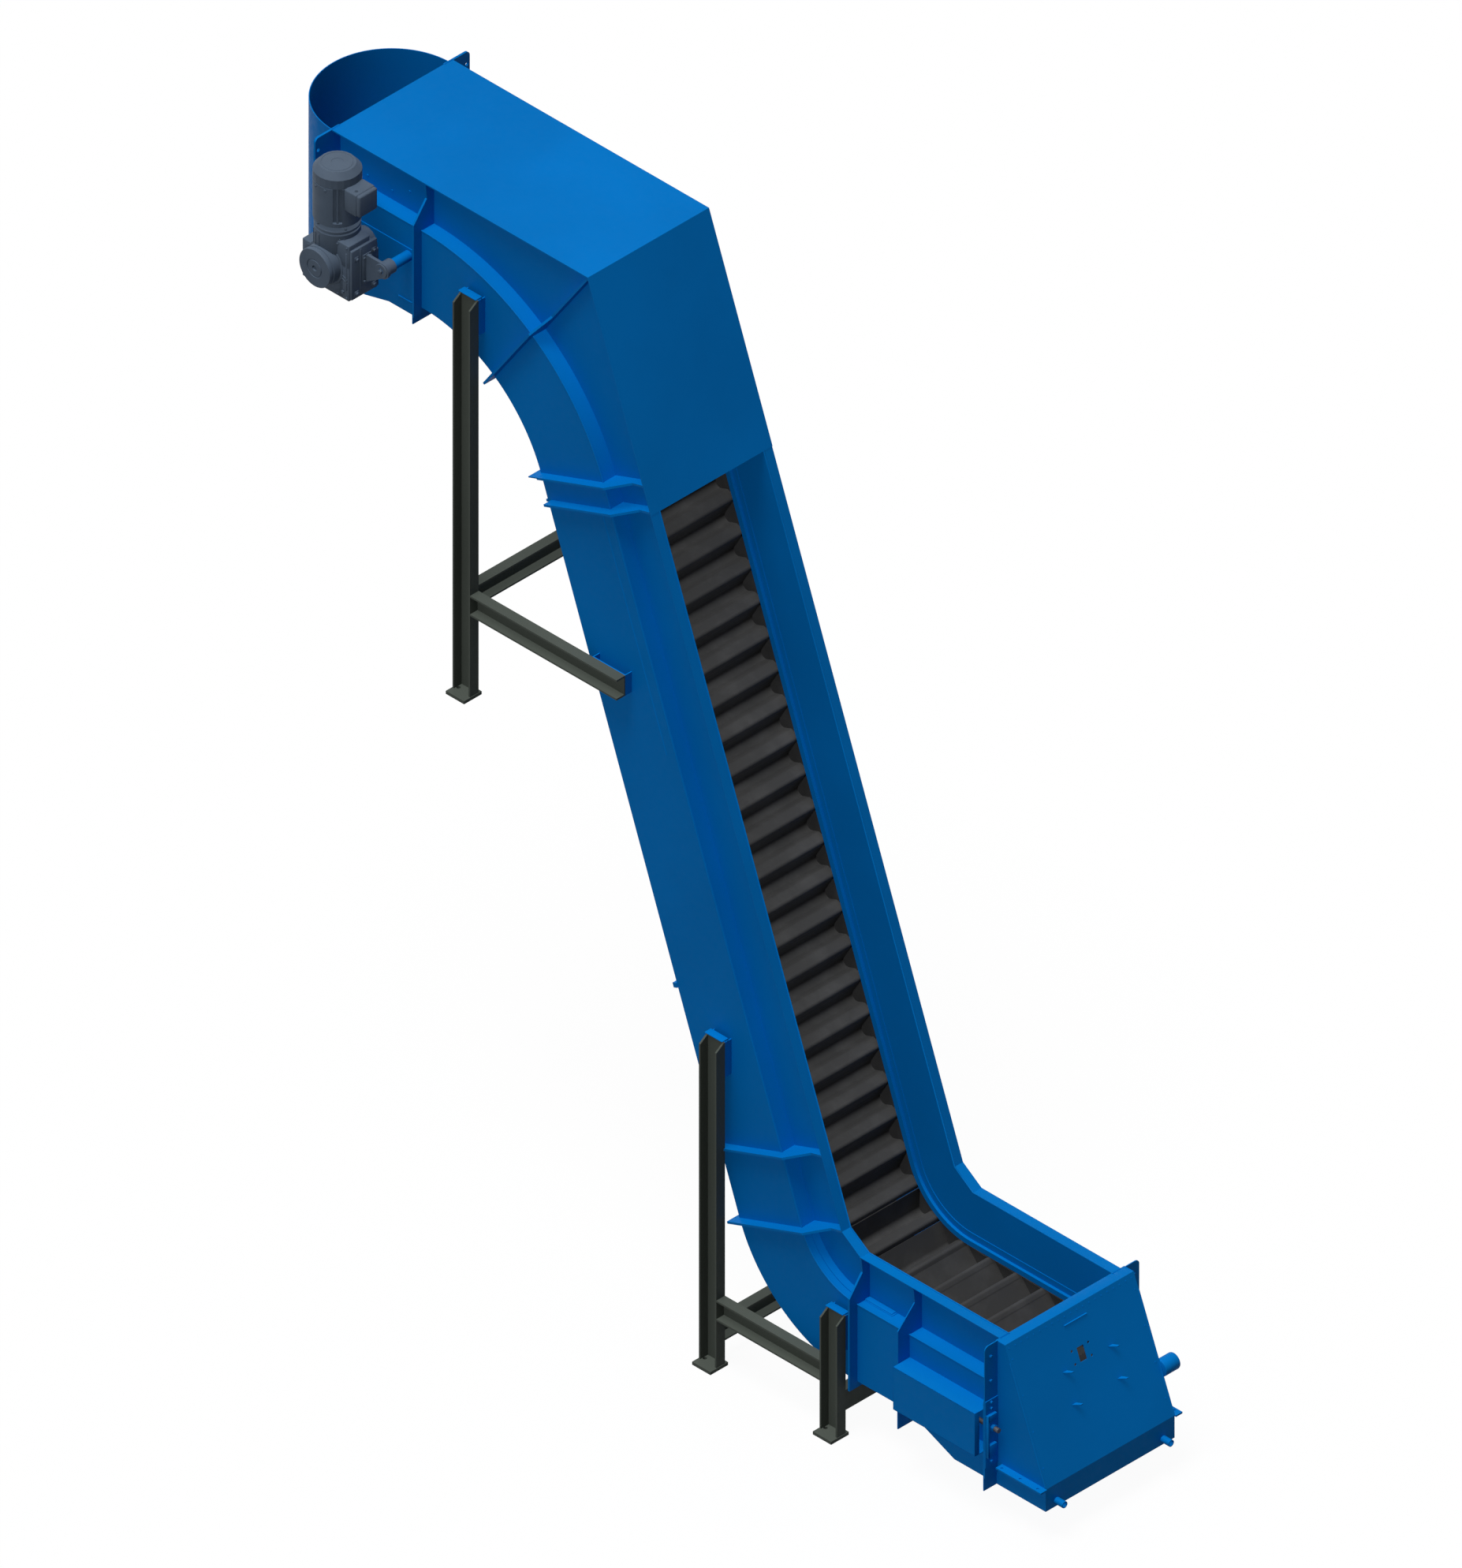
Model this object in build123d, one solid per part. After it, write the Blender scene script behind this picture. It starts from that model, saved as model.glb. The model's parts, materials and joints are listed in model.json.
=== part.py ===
from build123d import *
import math
import os

# Swan-neck bucket elevator: open loading section, concave bend, steep incline,
# convex bend and head section, with an endless apron of deep overlapping pans.
# Units are millimetres, +Z is up, +X points to the tail and -Y is the drive side.
# Places along the casing are given as a distance along the back sheet and a
# height out from it, so each run and bend shares one casing cross-section.

# casing path
TILT = 70.0
TAIL_BACK_Z = 266.8
CONCAVE_X = 452.05
CONCAVE_RADIUS = 710.0
CONVEX_RADIUS = 731.0
INCLINE_LENGTH = 3316.6
HEAD_LENGTH = 534.4
LOADING_LENGTH = 800.25

# casing cross-section, and how deep a flange is rooted in the sheet it is welded to
SHEET = 3.0
ROOTED = 1.5
HALF_WIDTH = 368.0
SHELF_HEIGHT = 380.0
UPPER_HALF_WIDTH = 297.0
LIP_HEIGHT = 597.0
LIP_WIDTH = 49.0
COVER_SHEET = 3.0

# places of the section flanges, measured along the incline from its foot or down from its top
WINDOW_BELOW_TOP = 129.0
SPACER_BELOW_TOP = 583.9
SPACER_LENGTH = 94.7
MIDDLE_SHARE = 0.475
FOOT_JOINT = 335.0
BEAD_BELOW_SPACER = 70.0
BEAD_OUT = 8.0

# section flanges
FLANGE_SHEET = 5.0
FLANGE_OUT = 45.0
FLANGE_BEHIND = 29.0
FLANGE_SHOULDER = 425.0
FLANGE_NECK = 522.6
FLANGE_NECK_OUT = 41.0
RIB_OUT = 66.0
RIB_BEHIND = 56.0
RIB_PAST_BEND = 302.65
END_FLANGE_OUT = 73.0
END_FLANGE_ROUND = 60.0

# head section and chute
HEAD_SHAFT_FROM_END = 230.1
HEAD_FLOOR_DROP = 63.6
HEAD_FLOOR_LOW_DROP = 98.6
HEAD_FLOOR_BREAK = 183.4
HEAD_FLOOR_RAMP = 136.4
CHUTE_RADIUS = 336.0
CHUTE_SHEET = 4.0
CHUTE_BELOW_FLOOR = 10.0
CHUTE_TOP_GAP = 6.0

# tail section
TAIL_BOTTOM_LENGTH = 279.7
TAIL_TOP_LENGTH = 45.7
SUMP_DEPTH = 109.2
SUMP_FLAT_LENGTH = 242.9
SUMP_FLANGE_WIDTH = 37.0
SUMP_FLANGE_SHEET = 4.0
SUMP_FLANGE_START = 30.5
SUMP_FLANGE_END = 8.0
PIPE_RADIUS = 15.5
PIPE_BORE = 12.0
PIPE_SIDES = 16
PIPE_LENGTH = 47.0
PIPE_Y = (-306.0, 302.0)
PIPE_RISE = 27.4
DOOR_WIDTH = 62.0
DOOR_HEIGHT = 56.0
DOOR_CENTRE_Y = -112.0
DOOR_CENTRE_UP = 392.0

# inner skirt strip that covers the ends of the pans
SKIRT_LEDGE = 17.0
SKIRT_TOP = 400.0
SKIRT_LEDGE_HEIGHT = 370.0
SKIRT_BOTTOM = 344.5
SKIRT_END_GAP = 60.0

# apron: pans hang between chain joints one pitch apart
PITCH = 152.4
PAN_DEPTH = 97.0
ROOT_RADIUS = 24.0
NOSE_RADIUS = 13.0
PAN_SLOPE = 50.0
PAN_SHEET = 2.5
PAN_LAP_GAP = 1.5
PAN_LIP = 14.0
PAN_TUCK = 13.0
PIN_OVER_RIDGE = 2.0
PAN_HALF_WIDTH = 299.0
WING_SHEET = 3.0
WING_PAST_ROOT = 10.0
WING_OVER_ROOT = 12.0
SEEN_ROOT_STEPS = 4
SEEN_NOSE_STEPS = 3
HIDDEN_ROOT_STEPS = 2
HIDDEN_NOSE_STEPS = 1
LOOP_LINKS = 3
STEP_SEARCH = 0.1
STRETCH_SEARCH = 0.01
SEARCH_STEPS = 40

# chain and sprockets
BAR_HEIGHT = 36.0
BAR_SHEET = 4.0
BAR_GAP = 0.3
BAR_OVERHANG = 16.0
PACKER_MARGIN = 28.0
ROLLER_RADIUS = 30.0
ROLLER_WIDTH = 30.0
ROLLER_SIDES = 8
ROLLER_RUNNING_GAP = 0.3
SPROCKET_TEETH = 12
SPROCKET_SHEET = 20.0
SPROCKET_TIP = 8.0
SPROCKET_CLEARANCE = 0.4
GAP_POINTS = 5
GAP_WRAP = 100.0
HUB_RADIUS = 48.0
HUB_STEP = 8.0
HUB_SIDES = 12
SHAFT_RADIUS = 25.0
BORE_CLEARANCE = 0.05

# rails for the chain rollers
RAIL_SHEET = 6.0
RETURN_RAIL_WIDTH = 40.0

# take-up on both walls of the tail
TAIL_SHAFT_BACK = 234.0
GUARD_PAST_RIB = 1.1
GUARD_BEFORE_JOINT = 28.5
GUARD_BELOW = 131.8
GUARD_ABOVE = 79.2
GUARD_OUT = 96.0
GUARD_SHEET = 3.0
BLOCK_SIZE = 110.0
BLOCK_WIDTH = 60.0
WALL_GAP = 2.0
GUIDE_GAP = 0.5
GUIDE_SHEET = 10.0
GUIDE_MARGIN = 25.0
TAKE_UP_TRAVEL = 8.0
SCREW_RADIUS = 11.0
SCREW_PAST_FLANGE = 40.0
NUT_RADIUS = 17.0
NUT_HEIGHT = 16.0
SLOT_MARGIN = 5.0
SCREW_ROOM = 1.0
SCREW_HOLE_SIDES = 8

# legs and braces from one rolled channel
CHANNEL_HEIGHT = 100.0
CHANNEL_WIDTH = 49.5
CHANNEL_WEB = 6.0
CHANNEL_FLANGE = 8.5
CHANNEL_CHAMFER = 30.0
STAND_OFF = 37.8
FOOT_LENGTH = 105.0
FOOT_WIDTH = 101.0
FOOT_SHEET = 15.0
FOOT_INSET = 15.2
FOOT_HOLE_RADIUS = 9.0
FOOT_HOLE_SHIFT = -33.0
FOOT_HOLE_OUT = 438.0
HEAD_LEG_PAST_BEND = 318.1
HEAD_LEG_OVER_BACK = 233.1
HEAD_LEG_HEIGHT = 1951.2
REAR_LEG_BEHIND_FOOT = 96.5
REAR_LEG_TOP = 1600.6
FRONT_LEG_BEFORE_BEND = 74.45
FRONT_LEG_TOP = 594.4
BRACKET_HEIGHT = 172.0
BRACKET_SHEET = 5.0
HEAD_BRACE_UP = 417.3
HEAD_BRACE_PAST_BACK = 219.6
HEAD_BRACE_BRACKET = 187.2
LOWER_BRACE_Z = 249.6
TIE_SHIFT = 28.6
REAR_TIE_Z = 99.0
FRONT_TIE_Z = 107.0

# drive unit on the head shaft
GEAR_HALF_LENGTH = 133.5
GEAR_Y = (-611.0, -412.0)
GEAR_BELOW = 123.5
GEAR_ABOVE = 187.2
GEAR_WALL = 12.0
HUB_COVER_RADIUS = 89.0
HUB_COVER_LENGTH = 60.0
HUB_COVER_SIDES = 36
SIDE_COVER_Y = (-585.0, -438.5)
SIDE_COVER_SHEET = 12.0
MOTOR_Y = -540.0
ADAPTER_RADIUS = 112.0
ADAPTER_HEIGHT = 22.0
MOTOR_RADIUS = 101.0
MOTOR_SIDES = 24
INNER_SIDES = 12
MOTOR_WALL = 8.0
MOTOR_LENGTH = 190.0
COWL_WALL = 3.0
COWL_LENGTH = 38.0
COWL_CONE = 26.0
COWL_TOP_RADIUS = 77.0
MOTOR_SHAFT_RADIUS = 14.0
ROTOR_RADIUS = 62.0
ROTOR_LENGTH = 120.0
FAN_RADIUS = 78.0
FAN_HEIGHT = 22.0
TERMINAL_SIZE = (78.0, 108.0, 107.0)
ARM_Y = -500.0
ARM_SHEET = 14.0
ARM_HEIGHT = 80.0
TORQUE_PIN_AHEAD = 237.5
TORQUE_PIN_UP = 33.5
TORQUE_PIN_RADIUS = 12.0
BUSH_RADIUS = 32.0
BUSH_SIDES = 16
BUSH_LENGTH = 44.0
BEARING_RADIUS = 80.0

# small attachments
SHELF_COVER_BACK = 197.5
SHELF_COVER_LENGTH = 118.0
SHELF_COVER_SHEET = 8.0

# derived path points
TILT_SIN = math.sin(math.radians(TILT))
TILT_COS = math.cos(math.radians(TILT))
CONCAVE_Z = TAIL_BACK_Z + CONCAVE_RADIUS
FOOT_X = CONCAVE_X - CONCAVE_RADIUS * TILT_SIN
FOOT_Z = CONCAVE_Z - CONCAVE_RADIUS * TILT_COS
TOP_X = FOOT_X - INCLINE_LENGTH * TILT_COS
TOP_Z = FOOT_Z + INCLINE_LENGTH * TILT_SIN
CONVEX_X = TOP_X - CONVEX_RADIUS * TILT_SIN
CONVEX_Z = TOP_Z - CONVEX_RADIUS * TILT_COS
HEAD_BACK_Z = CONVEX_Z + CONVEX_RADIUS
HEAD_END_X = CONVEX_X - HEAD_LENGTH
TAIL_JOINT_X = CONCAVE_X + LOADING_LENGTH
UPPER_INSIDE = UPPER_HALF_WIDTH - SHEET
SHAFT_HEIGHT = SHELF_HEIGHT / 2
HEAD_SHAFT_X = HEAD_END_X + HEAD_SHAFT_FROM_END
HEAD_SHAFT_Z = HEAD_BACK_Z + SHAFT_HEIGHT
TAIL_SHAFT_Z = TAIL_BACK_Z + SHAFT_HEIGHT
WINDOW_TOP = INCLINE_LENGTH - WINDOW_BELOW_TOP
SPACER_TOP = INCLINE_LENGTH - SPACER_BELOW_TOP
SPACER_BOTTOM = SPACER_TOP - SPACER_LENGTH
MIDDLE_JOINT = INCLINE_LENGTH * MIDDLE_SHARE
RIB_X = CONCAVE_X + RIB_PAST_BEND
SUMP_BOTTOM_Z = TAIL_BACK_Z - SUMP_DEPTH
SUMP_FLAT_X = TAIL_JOINT_X - SUMP_FLAT_LENGTH

# derived places of legs, braces and the drive unit
HEAD_LEG_X = CONVEX_X + HEAD_LEG_PAST_BEND
HEAD_LEG_TOP = HEAD_BACK_Z + HEAD_LEG_OVER_BACK
HEAD_LEG_FLOOR = HEAD_LEG_TOP - HEAD_LEG_HEIGHT
REAR_LEG_X = FOOT_X - REAR_LEG_BEHIND_FOOT
FRONT_LEG_X = CONCAVE_X - FRONT_LEG_BEFORE_BEND
HEAD_BRACE_Z = HEAD_LEG_FLOOR + HEAD_BRACE_UP
BRACE_BACK_X = FOOT_X - (HEAD_BRACE_Z - FOOT_Z) * TILT_COS / TILT_SIN
HEAD_BRACE_END_X = BRACE_BACK_X + HEAD_BRACE_PAST_BACK
GEAR_X = (HEAD_SHAFT_X - GEAR_HALF_LENGTH, HEAD_SHAFT_X + GEAR_HALF_LENGTH)
GEAR_Z = (HEAD_SHAFT_Z - GEAR_BELOW, HEAD_SHAFT_Z + GEAR_ABOVE)
TORQUE_PIN_X = HEAD_SHAFT_X + TORQUE_PIN_AHEAD
TORQUE_PIN_Z = HEAD_SHAFT_Z + TORQUE_PIN_UP

# derived apron values: six joints round each sprocket make its radius one pitch
SPROCKET_RADIUS = PITCH / (2 * math.sin(math.pi / (2 * LOOP_LINKS)))
CARRY_PIN = SHAFT_HEIGHT + SPROCKET_RADIUS
RETURN_PIN = SHAFT_HEIGHT - SPROCKET_RADIUS
BAR_IN_Y = PAN_HALF_WIDTH
BAR_OUT_Y = PAN_HALF_WIDTH + BAR_SHEET + BAR_GAP
ROLLER_Y = BAR_OUT_Y + BAR_SHEET + BAR_GAP
SPROCKET_Y = ROLLER_Y + (ROLLER_WIDTH - SPROCKET_SHEET) / 2
LEG_BACK_Y = HALF_WIDTH + STAND_OFF
ALONG_Y = (0, 1, 0)

# whole pitches that bring the tail shaft nearest to its place before the end flange
BEND_RUN = math.radians(TILT) * (CONVEX_RADIUS + CONCAVE_RADIUS)
LEVEL_RUN = CONVEX_X - HEAD_SHAFT_X + LOADING_LENGTH - TAIL_SHAFT_BACK
RUN_PITCHES = round((LEVEL_RUN + BEND_RUN + INCLINE_LENGTH) / PITCH)


def station(x, z, tilt):
    """Cross-section plane: local x runs along +Y and local y runs out from the back sheet."""
    angle = math.radians(tilt)
    return Plane(origin=(x, 0, z), x_dir=ALONG_Y, z_dir=(math.cos(angle), 0, -math.sin(angle)))


def incline_point(distance, out):
    """XZ point a distance up the incline and out from the back sheet."""
    x = FOOT_X - distance * TILT_COS + out * TILT_SIN
    z = FOOT_Z + distance * TILT_SIN + out * TILT_COS
    return x, z


def incline_station(distance):
    x, z = incline_point(distance, 0)
    return station(x, z, TILT)


def convex_point(angle, radius):
    turn = math.radians(angle)
    return CONVEX_X + radius * math.sin(turn), CONVEX_Z + radius * math.cos(turn)


def concave_point(angle, radius):
    turn = math.radians(angle)
    return CONCAVE_X - radius * math.sin(turn), CONCAVE_Z - radius * math.cos(turn)


def polygon(points):
    return make_face(Polyline(*points, close=True))


def xz_face(points):
    return polygon([(x, 0, z) for x, z in points])


def across(face, low, high):
    """Extrude an XZ face across the width from low to high."""
    return Pos(0, low, 0) * extrude(face, amount=high - low, dir=ALONG_Y)


def both_sides(face, inner, outer):
    """The same XZ face as a plate on the drive side and on the far side."""
    return across(face, -outer, -inner) + across(face, inner, outer)


def block(x_range, y_range, z_range):
    size = [pair[1] - pair[0] for pair in (x_range, y_range, z_range)]
    middle = [(pair[0] + pair[1]) / 2 for pair in (x_range, y_range, z_range)]
    return Pos(*middle) * Box(*size)


def rod_y(x, z, radius, low, high):
    return Pos(x, (low + high) / 2, z) * Rot(90, 0, 0) * Cylinder(radius, high - low)


def rod_x(y, z, radius, low, high):
    return Pos((low + high) / 2, y, z) * Rot(0, 90, 0) * Cylinder(radius, high - low)


def rod_z(x, y, radius, low, high):
    return Pos(x, y, (low + high) / 2) * Cylinder(radius, high - low)


def prism_y(x, z, radius, sides, low, high):
    """Many-sided rod along Y, with its corners on the given radius."""
    face = Plane(origin=(x, low, z), x_dir=(1, 0, 0), z_dir=ALONG_Y) * RegularPolygon(radius, sides)
    return extrude(face, amount=high - low)


def prism_z(x, y, radius, sides, low, high):
    """Many-sided rod along Z, with its corners on the given radius."""
    return Pos(x, y, low) * extrude(RegularPolygon(radius, sides), amount=high - low)


def mirrored(shape):
    """A drive-side shape together with its copy on the far side."""
    return Compound([shape, mirror(shape, Plane.XZ)])


def trough_points():
    """Cross-section of the folded casing sheet, from the far lip round to the drive-side lip."""
    inside = HALF_WIDTH - SHEET
    shelf_under = SHELF_HEIGHT - SHEET
    lip = UPPER_HALF_WIDTH + LIP_WIDTH
    outer = [(HALF_WIDTH, 0), (HALF_WIDTH, SHELF_HEIGHT), (UPPER_HALF_WIDTH, SHELF_HEIGHT)]
    inner = [(UPPER_INSIDE, shelf_under), (inside, shelf_under), (inside, SHEET)]
    outer += [(UPPER_HALF_WIDTH, LIP_HEIGHT - SHEET), (lip, LIP_HEIGHT - SHEET)]
    inner = [(lip, LIP_HEIGHT), (UPPER_INSIDE, LIP_HEIGHT)] + inner
    side = outer + inner
    return side + [(-y, n) for y, n in reversed(side)]


def flange_points(out, behind, shoulder_out):
    """Flange plate round the outside of the casing, stepped in above the shelf."""
    lip = UPPER_HALF_WIDTH + LIP_WIDTH
    side = [
        (HALF_WIDTH + out, -behind),
        (HALF_WIDTH + out, FLANGE_SHOULDER),
        (UPPER_HALF_WIDTH + shoulder_out, FLANGE_NECK),
        (lip, LIP_HEIGHT - ROOTED),
        (UPPER_HALF_WIDTH - ROOTED, LIP_HEIGHT - ROOTED),
        (UPPER_HALF_WIDTH - ROOTED, SHELF_HEIGHT - ROOTED),
        (HALF_WIDTH - ROOTED, SHELF_HEIGHT - ROOTED),
        (HALF_WIDTH - ROOTED, ROOTED),
    ]
    return side + [(-y, n) for y, n in reversed(side)]


def flange(plane, thickness, out=FLANGE_OUT, behind=FLANGE_BEHIND):
    return extrude(plane * polygon(flange_points(out, behind, FLANGE_NECK_OUT)), amount=thickness)


def trough(plane, length):
    return extrude(plane * polygon(trough_points()), amount=length)


def ring_face(corner_at, first, last, inner, outer):
    """XZ face between two arcs about a bend's centre."""
    angles = (first, (first + last) / 2, last)
    low = ThreePointArc(*[(x, 0, z) for x, z in (corner_at(angle, inner) for angle in angles)])
    angles = angles[::-1]
    high = ThreePointArc(*[(x, 0, z) for x, z in (corner_at(angle, outer) for angle in angles)])
    return make_face([low, Line(low @ 1, high @ 0), high, Line(high @ 1, low @ 0)])


def bend(corner_at, first, last, radius_at):
    """Back sheet, lower walls and shelves carried round a bend."""
    back = ring_face(corner_at, first, last, radius_at(0), radius_at(SHEET))
    side = ring_face(corner_at, first, last, radius_at(0), radius_at(SHELF_HEIGHT))
    shelf = ring_face(corner_at, first, last, radius_at(SHELF_HEIGHT - SHEET), radius_at(SHELF_HEIGHT))
    shape = across(back, -HALF_WIDTH, HALF_WIDTH)
    shape += both_sides(side, HALF_WIDTH - SHEET, HALF_WIDTH)
    shape += both_sides(shelf, UPPER_INSIDE, HALF_WIDTH)
    return shape


def convex_radius(out):
    return CONVEX_RADIUS + out


def concave_radius(out):
    return CONCAVE_RADIUS - out


def arc_face(corners, start, middle, end):
    """XZ face bounded by straight corners and one arc from start through middle to end."""
    points = [(x, 0, z) for x, z in corners]
    first, through, last = ((x, 0, z) for x, z in (start, middle, end))
    return make_face([ThreePointArc(first, through, last), Polyline(last, *points, first)])


parts = {}

# incline sections, each with a flange at both ends
head_plane = incline_station(INCLINE_LENGTH)
spans = {
    "incline_foot": (0, FOOT_JOINT),
    "incline_lower": (FOOT_JOINT, MIDDLE_JOINT),
    "incline_upper": (MIDDLE_JOINT, SPACER_BOTTOM),
    "spacer_section": (SPACER_BOTTOM, SPACER_TOP),
    "incline_top": (SPACER_TOP, INCLINE_LENGTH),
}
for name, (low, high) in spans.items():
    shape = trough(incline_station(high), high - low)
    shape += flange(incline_station(high), FLANGE_SHEET)
    shape += flange(incline_station(low), -FLANGE_SHEET)
    parts[name] = shape

# bead folded round the upper incline section just below the spacer joint
bead_low = SPACER_BOTTOM - BEAD_BELOW_SPACER
parts["incline_upper"] += flange(incline_station(bead_low), SHEET, out=BEAD_OUT, behind=BEAD_OUT)

# convex bend in two halves with a mitre flange between them
CORNER_RADIUS = (CONVEX_RADIUS + LIP_HEIGHT) / math.cos(math.radians(TILT / 2))
WALL_ARC = CONVEX_RADIUS + SHELF_HEIGHT - SHEET
LIP_ARC = CONVEX_RADIUS + LIP_HEIGHT
for name, first, last in (("convex_bend_upper", 0, TILT / 2), ("convex_bend_lower", TILT / 2, TILT)):
    shape = bend(convex_point, first, last, convex_radius)
    far_end = first if first == 0 else last
    corner = convex_point(TILT / 2, CORNER_RADIUS)
    edge = convex_point(far_end, LIP_ARC)
    walls = [corner, edge] if first == 0 else [edge, corner]
    face = arc_face(
        walls,
        convex_point(first, WALL_ARC),
        convex_point((first + last) / 2, WALL_ARC),
        convex_point(last, WALL_ARC),
    )
    shape += both_sides(face, UPPER_INSIDE, UPPER_HALF_WIDTH)
    inner_corner = convex_point(TILT / 2, CORNER_RADIUS - SHEET / math.cos(math.radians(TILT / 2)))
    inner_edge = convex_point(far_end, LIP_ARC - SHEET)
    lip_face = xz_face([edge, corner, inner_corner, inner_edge])
    shape += both_sides(lip_face, UPPER_HALF_WIDTH, UPPER_HALF_WIDTH + LIP_WIDTH)
    end_x, end_z = convex_point(far_end, CONVEX_RADIUS)
    inward = FLANGE_SHEET if first == 0 else -FLANGE_SHEET
    shape += flange(station(end_x, end_z, far_end), inward)
    parts[name] = shape

# mitre flange plates: same outline, stretched up to just under the corner of the covers
mitre_x, mitre_z = convex_point(TILT / 2, CONVEX_RADIUS)
mitre_fall = FLANGE_SHEET * math.tan(math.radians(TILT / 2))
mitre_top = CORNER_RADIUS - CONVEX_RADIUS - ROOTED - mitre_fall
mitre_side = [
    (HALF_WIDTH + FLANGE_OUT, -FLANGE_BEHIND),
    (HALF_WIDTH + FLANGE_OUT, FLANGE_SHOULDER),
    (UPPER_HALF_WIDTH + FLANGE_NECK_OUT, FLANGE_NECK),
    (UPPER_HALF_WIDTH + FLANGE_NECK_OUT, mitre_top),
    (UPPER_HALF_WIDTH - ROOTED, mitre_top),
    (UPPER_HALF_WIDTH - ROOTED, SHELF_HEIGHT - ROOTED),
    (HALF_WIDTH - ROOTED, SHELF_HEIGHT - ROOTED),
    (HALF_WIDTH - ROOTED, ROOTED),
]
mitre_outline = polygon(mitre_side + [(-y, n) for y, n in reversed(mitre_side)])
mitre_plane = station(mitre_x, mitre_z, TILT / 2)
parts["convex_bend_upper"] += extrude(mitre_plane * mitre_outline, amount=-FLANGE_SHEET)
parts["convex_bend_lower"] += extrude(mitre_plane * mitre_outline, amount=FLANGE_SHEET)

# concave bend: its lip cuts straight across the corner
bend_start = station(CONCAVE_X, TAIL_BACK_Z, 0)
concave = bend(concave_point, 0, TILT, concave_radius)
inner_arc = CONCAVE_RADIUS - SHELF_HEIGHT + SHEET
lip_arc = CONCAVE_RADIUS - LIP_HEIGHT
lip_low = concave_point(0, lip_arc)
lip_high = concave_point(TILT, lip_arc)
wall_face = arc_face(
    [lip_high, lip_low],
    concave_point(0, inner_arc),
    concave_point(TILT / 2, inner_arc),
    concave_point(TILT, inner_arc),
)
concave += both_sides(wall_face, UPPER_INSIDE, UPPER_HALF_WIDTH)
lip_under = [concave_point(TILT, lip_arc + SHEET), concave_point(0, lip_arc + SHEET)]
lip_plate = xz_face([lip_low, lip_high] + lip_under)
concave += both_sides(lip_plate, UPPER_HALF_WIDTH, UPPER_HALF_WIDTH + LIP_WIDTH)
concave += flange(bend_start, -FLANGE_SHEET)
concave += flange(incline_station(0), FLANGE_SHEET)
parts["concave_bend"] = concave

# loading section: plain trough, then side walls that drop to the sump floor
loading = trough(bend_start, RIB_X - CONCAVE_X)
loading += flange(bend_start, FLANGE_SHEET)
loading += flange(station(RIB_X, TAIL_BACK_Z, 0), -FLANGE_SHEET, out=RIB_OUT, behind=RIB_BEHIND)
shelf_z = TAIL_BACK_Z + SHELF_HEIGHT
lip_z = TAIL_BACK_Z + LIP_HEIGHT
wall_outline = [
    (RIB_X, TAIL_BACK_Z),
    (SUMP_FLAT_X, SUMP_BOTTOM_Z),
    (TAIL_JOINT_X, SUMP_BOTTOM_Z),
    (TAIL_JOINT_X, shelf_z),
    (RIB_X, shelf_z),
]
loading += both_sides(xz_face(wall_outline), HALF_WIDTH - SHEET, HALF_WIDTH)
floor_outline = [
    (RIB_X, TAIL_BACK_Z),
    (SUMP_FLAT_X, SUMP_BOTTOM_Z),
    (TAIL_JOINT_X, SUMP_BOTTOM_Z),
    (TAIL_JOINT_X, SUMP_BOTTOM_Z + SHEET),
    (SUMP_FLAT_X, SUMP_BOTTOM_Z + SHEET),
    (RIB_X, TAIL_BACK_Z + SHEET),
]
loading += across(xz_face(floor_outline), -HALF_WIDTH, HALF_WIDTH)


def upper_frame(start, end_shelf, end_lip):
    """Shelves, upper walls and lips of a horizontal run along the tail."""
    shelf = [(start, shelf_z - SHEET), (end_shelf, shelf_z - SHEET), (end_shelf, shelf_z), (start, shelf_z)]
    wall = [(start, shelf_z - SHEET), (end_shelf, shelf_z - SHEET), (end_lip, lip_z), (start, lip_z)]
    lip = [(start, lip_z - SHEET), (end_lip, lip_z - SHEET), (end_lip, lip_z), (start, lip_z)]
    frame = both_sides(xz_face(shelf), UPPER_INSIDE, HALF_WIDTH)
    frame += both_sides(xz_face(wall), UPPER_INSIDE, UPPER_HALF_WIDTH)
    frame += both_sides(xz_face(lip), UPPER_HALF_WIDTH, UPPER_HALF_WIDTH + LIP_WIDTH)
    return frame


loading += upper_frame(RIB_X, TAIL_JOINT_X, TAIL_JOINT_X)

# end flange pair of the loading section, with rounded top corners
end_out = HALF_WIDTH + END_FLANGE_OUT


def end_flange(plane, thickness, bottom, top):
    """Side plates of an end flange with a quarter-round top corner."""
    plates = None
    for side in (-1, 1):
        inner = side * HALF_WIDTH
        outer = side * end_out
        corner = side * (end_out - END_FLANGE_ROUND)
        middle = side * (end_out - END_FLANGE_ROUND * (1 - math.sqrt(0.5)))
        rise = top - END_FLANGE_ROUND * (1 - math.sqrt(0.5))
        edges = [
            Polyline((corner, top), (inner, top), (inner, bottom), (outer, bottom), (outer, top - END_FLANGE_ROUND)),
            ThreePointArc((outer, top - END_FLANGE_ROUND), (middle, rise), (corner, top)),
        ]
        plate = extrude(plane * make_face(edges), amount=thickness)
        plates = plate if plates is None else plates + plate
    return plates


tail_joint = station(TAIL_JOINT_X, TAIL_BACK_Z, 0)
loading += end_flange(tail_joint, -FLANGE_SHEET, -SUMP_DEPTH, SHELF_HEIGHT)
parts["loading_section"] = loading

# tail box beyond the end flange with its slanted end
tail_slope = (TAIL_BOTTOM_LENGTH - TAIL_TOP_LENGTH) / LIP_HEIGHT


def slant_x(height):
    """Outer face of the slanted tail end at a height above the back line."""
    return TAIL_JOINT_X + TAIL_BOTTOM_LENGTH - tail_slope * height


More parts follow.
